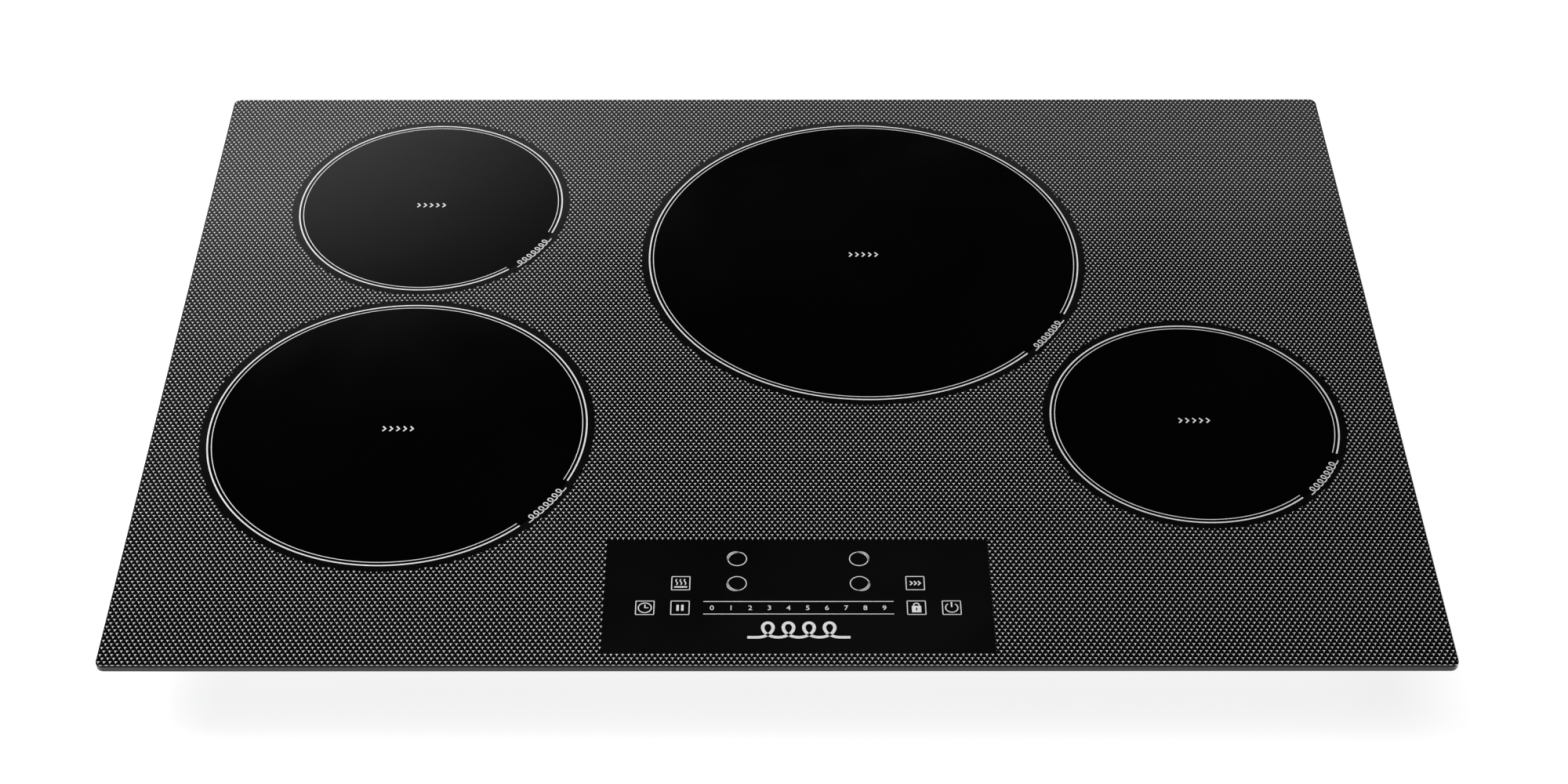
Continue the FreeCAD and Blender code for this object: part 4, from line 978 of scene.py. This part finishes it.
# Camera: where it aims, beside the middle of the glass, from how far, and at what angles in degrees.
AIM_LEFT = 6.1 * MM
AIM_FRONT = 39.6 * MM
CAMERA_AWAY = 1633.3 * MM
CAMERA_YAW = 0.063
CAMERA_PITCH = 42.602
CAMERA_ROLL = -0.072
SENSOR_WIDTH = 36
LENS = 60.61
LENS_SHIFT = 0.0114
CLIP_START = 0.05
CLIP_END = 50


def floor():
    """Pale paper that glows a little."""
    paper = Finish("studio_paper", PAPER_GREY, 0.9)
    paper.shade(paper.noise(0.4, detail=3), 0.985)
    paper.put("Emission Color", (*WHITE, 1))
    paper.put("Emission Strength", FLOOR_GLOW)
    mesh = bpy.data.meshes.new("studio_floor")
    side = 2 * FLOOR_HALF
    corners = [(x, y, 0) for x, y in rectangle(0, 0, side, side)]
    mesh.from_pydata(corners, [], [(0, 1, 2, 3)])
    mesh.materials.append(paper.material)
    made = bpy.data.objects.new("studio_floor", mesh)
    bpy.context.scene.collection.objects.link(made)


def key_light():
    """A large soft lamp at the rear left, unseen in the glass."""
    data = bpy.data.lights.new("key", "AREA")
    data.shape = "RECTANGLE"
    data.size, data.size_y = KEY_SIDE, KEY_SIDE
    data.energy = KEY_POWER
    made = bpy.data.objects.new("key", data)
    made.location = KEY_PLACE
    aim = Vector(KEY_TARGET) - Vector(KEY_PLACE)
    made.rotation_euler = aim.to_track_quat("-Z", "Y").to_euler()
    made.visible_glossy = False
    bpy.context.scene.collection.objects.link(made)


def sines(degrees):
    return [math.sin(math.radians(angle)) for angle in degrees]


def tangents(degrees):
    return [math.tan(math.radians(angle)) for angle in degrees]


def world():
    """A dark room with a bright ceiling, a soft window at the rear left and a lit rear wall.

    The camera itself sees a plain pale backdrop.
    """
    made = bpy.data.worlds.new("studio")
    bpy.context.scene.world = made
    made.use_nodes = True
    made.node_tree.nodes.clear()
    room = Nodes(made.node_tree)

    def fade(source, limits, start=0.0, stop=1.0):
        return room.fit(source, *limits, start, stop, "SMOOTHSTEP")

    way = room.node("ShaderNodeSeparateXYZ")
    room.link(room.node("ShaderNodeTexCoord").outputs["Generated"], way.inputs[0])
    x, y, z = way.outputs
    bearing = room.calc("DIVIDE", room.calc("MULTIPLY", x, -1.0), room.calc("MAXIMUM", y, LEAST_AHEAD))

    ceiling = fade(z, sines(CEILING_EDGE), ROOM_LIGHT, CEILING_LIGHT)
    window = room.calc("MULTIPLY", fade(z, sines(WINDOW_TOP)), fade(bearing, tangents(WINDOW_SIDE)))
    wall = room.calc("MULTIPLY", fade(z, sines(WALL_TOP)), fade(bearing, tangents(WALL_SIDE)))
    panes = room.calc("ADD", room.calc("MULTIPLY", window, WINDOW_LIGHT),
                      room.calc("MULTIPLY", wall, WALL_LIGHT))
    band = room.calc("MULTIPLY", fade(y, AHEAD), fade(z, sines(BAND_LOW)))
    band = room.calc("MULTIPLY", band, fade(bearing, tangents(BAND_LEFT)))
    light = room.calc("ADD", ceiling, room.calc("MULTIPLY", band, panes))

    lit = room.node("ShaderNodeBackground")
    room.link(light, lit.inputs["Strength"])
    backdrop = room.node("ShaderNodeBackground")
    backdrop.inputs["Strength"].default_value = BACKDROP_LIGHT
    mix = room.node("ShaderNodeMixShader")
    room.link(room.node("ShaderNodeLightPath").outputs["Is Camera Ray"], mix.inputs["Fac"])
    room.link(lit.outputs[0], mix.inputs[1])
    room.link(backdrop.outputs[0], mix.inputs[2])
    room.link(mix.outputs[0], room.node("ShaderNodeOutputWorld").inputs["Surface"])


def camera():
    """Looks down on the glass from the front, as a person at the worktop does."""
    data = bpy.data.cameras.new("camera")
    data.sensor_width = SENSOR_WIDTH
    data.lens = LENS
    data.shift_x = LENS_SHIFT
    data.clip_start = CLIP_START
    data.clip_end = CLIP_END
    made = bpy.data.objects.new("camera", data)
    middle = (glass_low + glass_high) / 2
    target = Vector((middle.x - AIM_LEFT, middle.y - AIM_FRONT, TOP))
    turn = (Matrix.Rotation(math.radians(CAMERA_YAW), 4, "Z")
            @ Matrix.Rotation(math.radians(90 - CAMERA_PITCH), 4, "X")
            @ Matrix.Rotation(math.radians(CAMERA_ROLL), 4, "Z"))
    away = turn @ Vector((0, 0, CAMERA_AWAY))
    made.matrix_world = Matrix.Translation(target + away) @ turn
    bpy.context.scene.collection.objects.link(made)
    bpy.context.scene.camera = made


floor()
key_light()
world()
camera()
bpy.context.scene.view_settings.view_transform = "Standard"
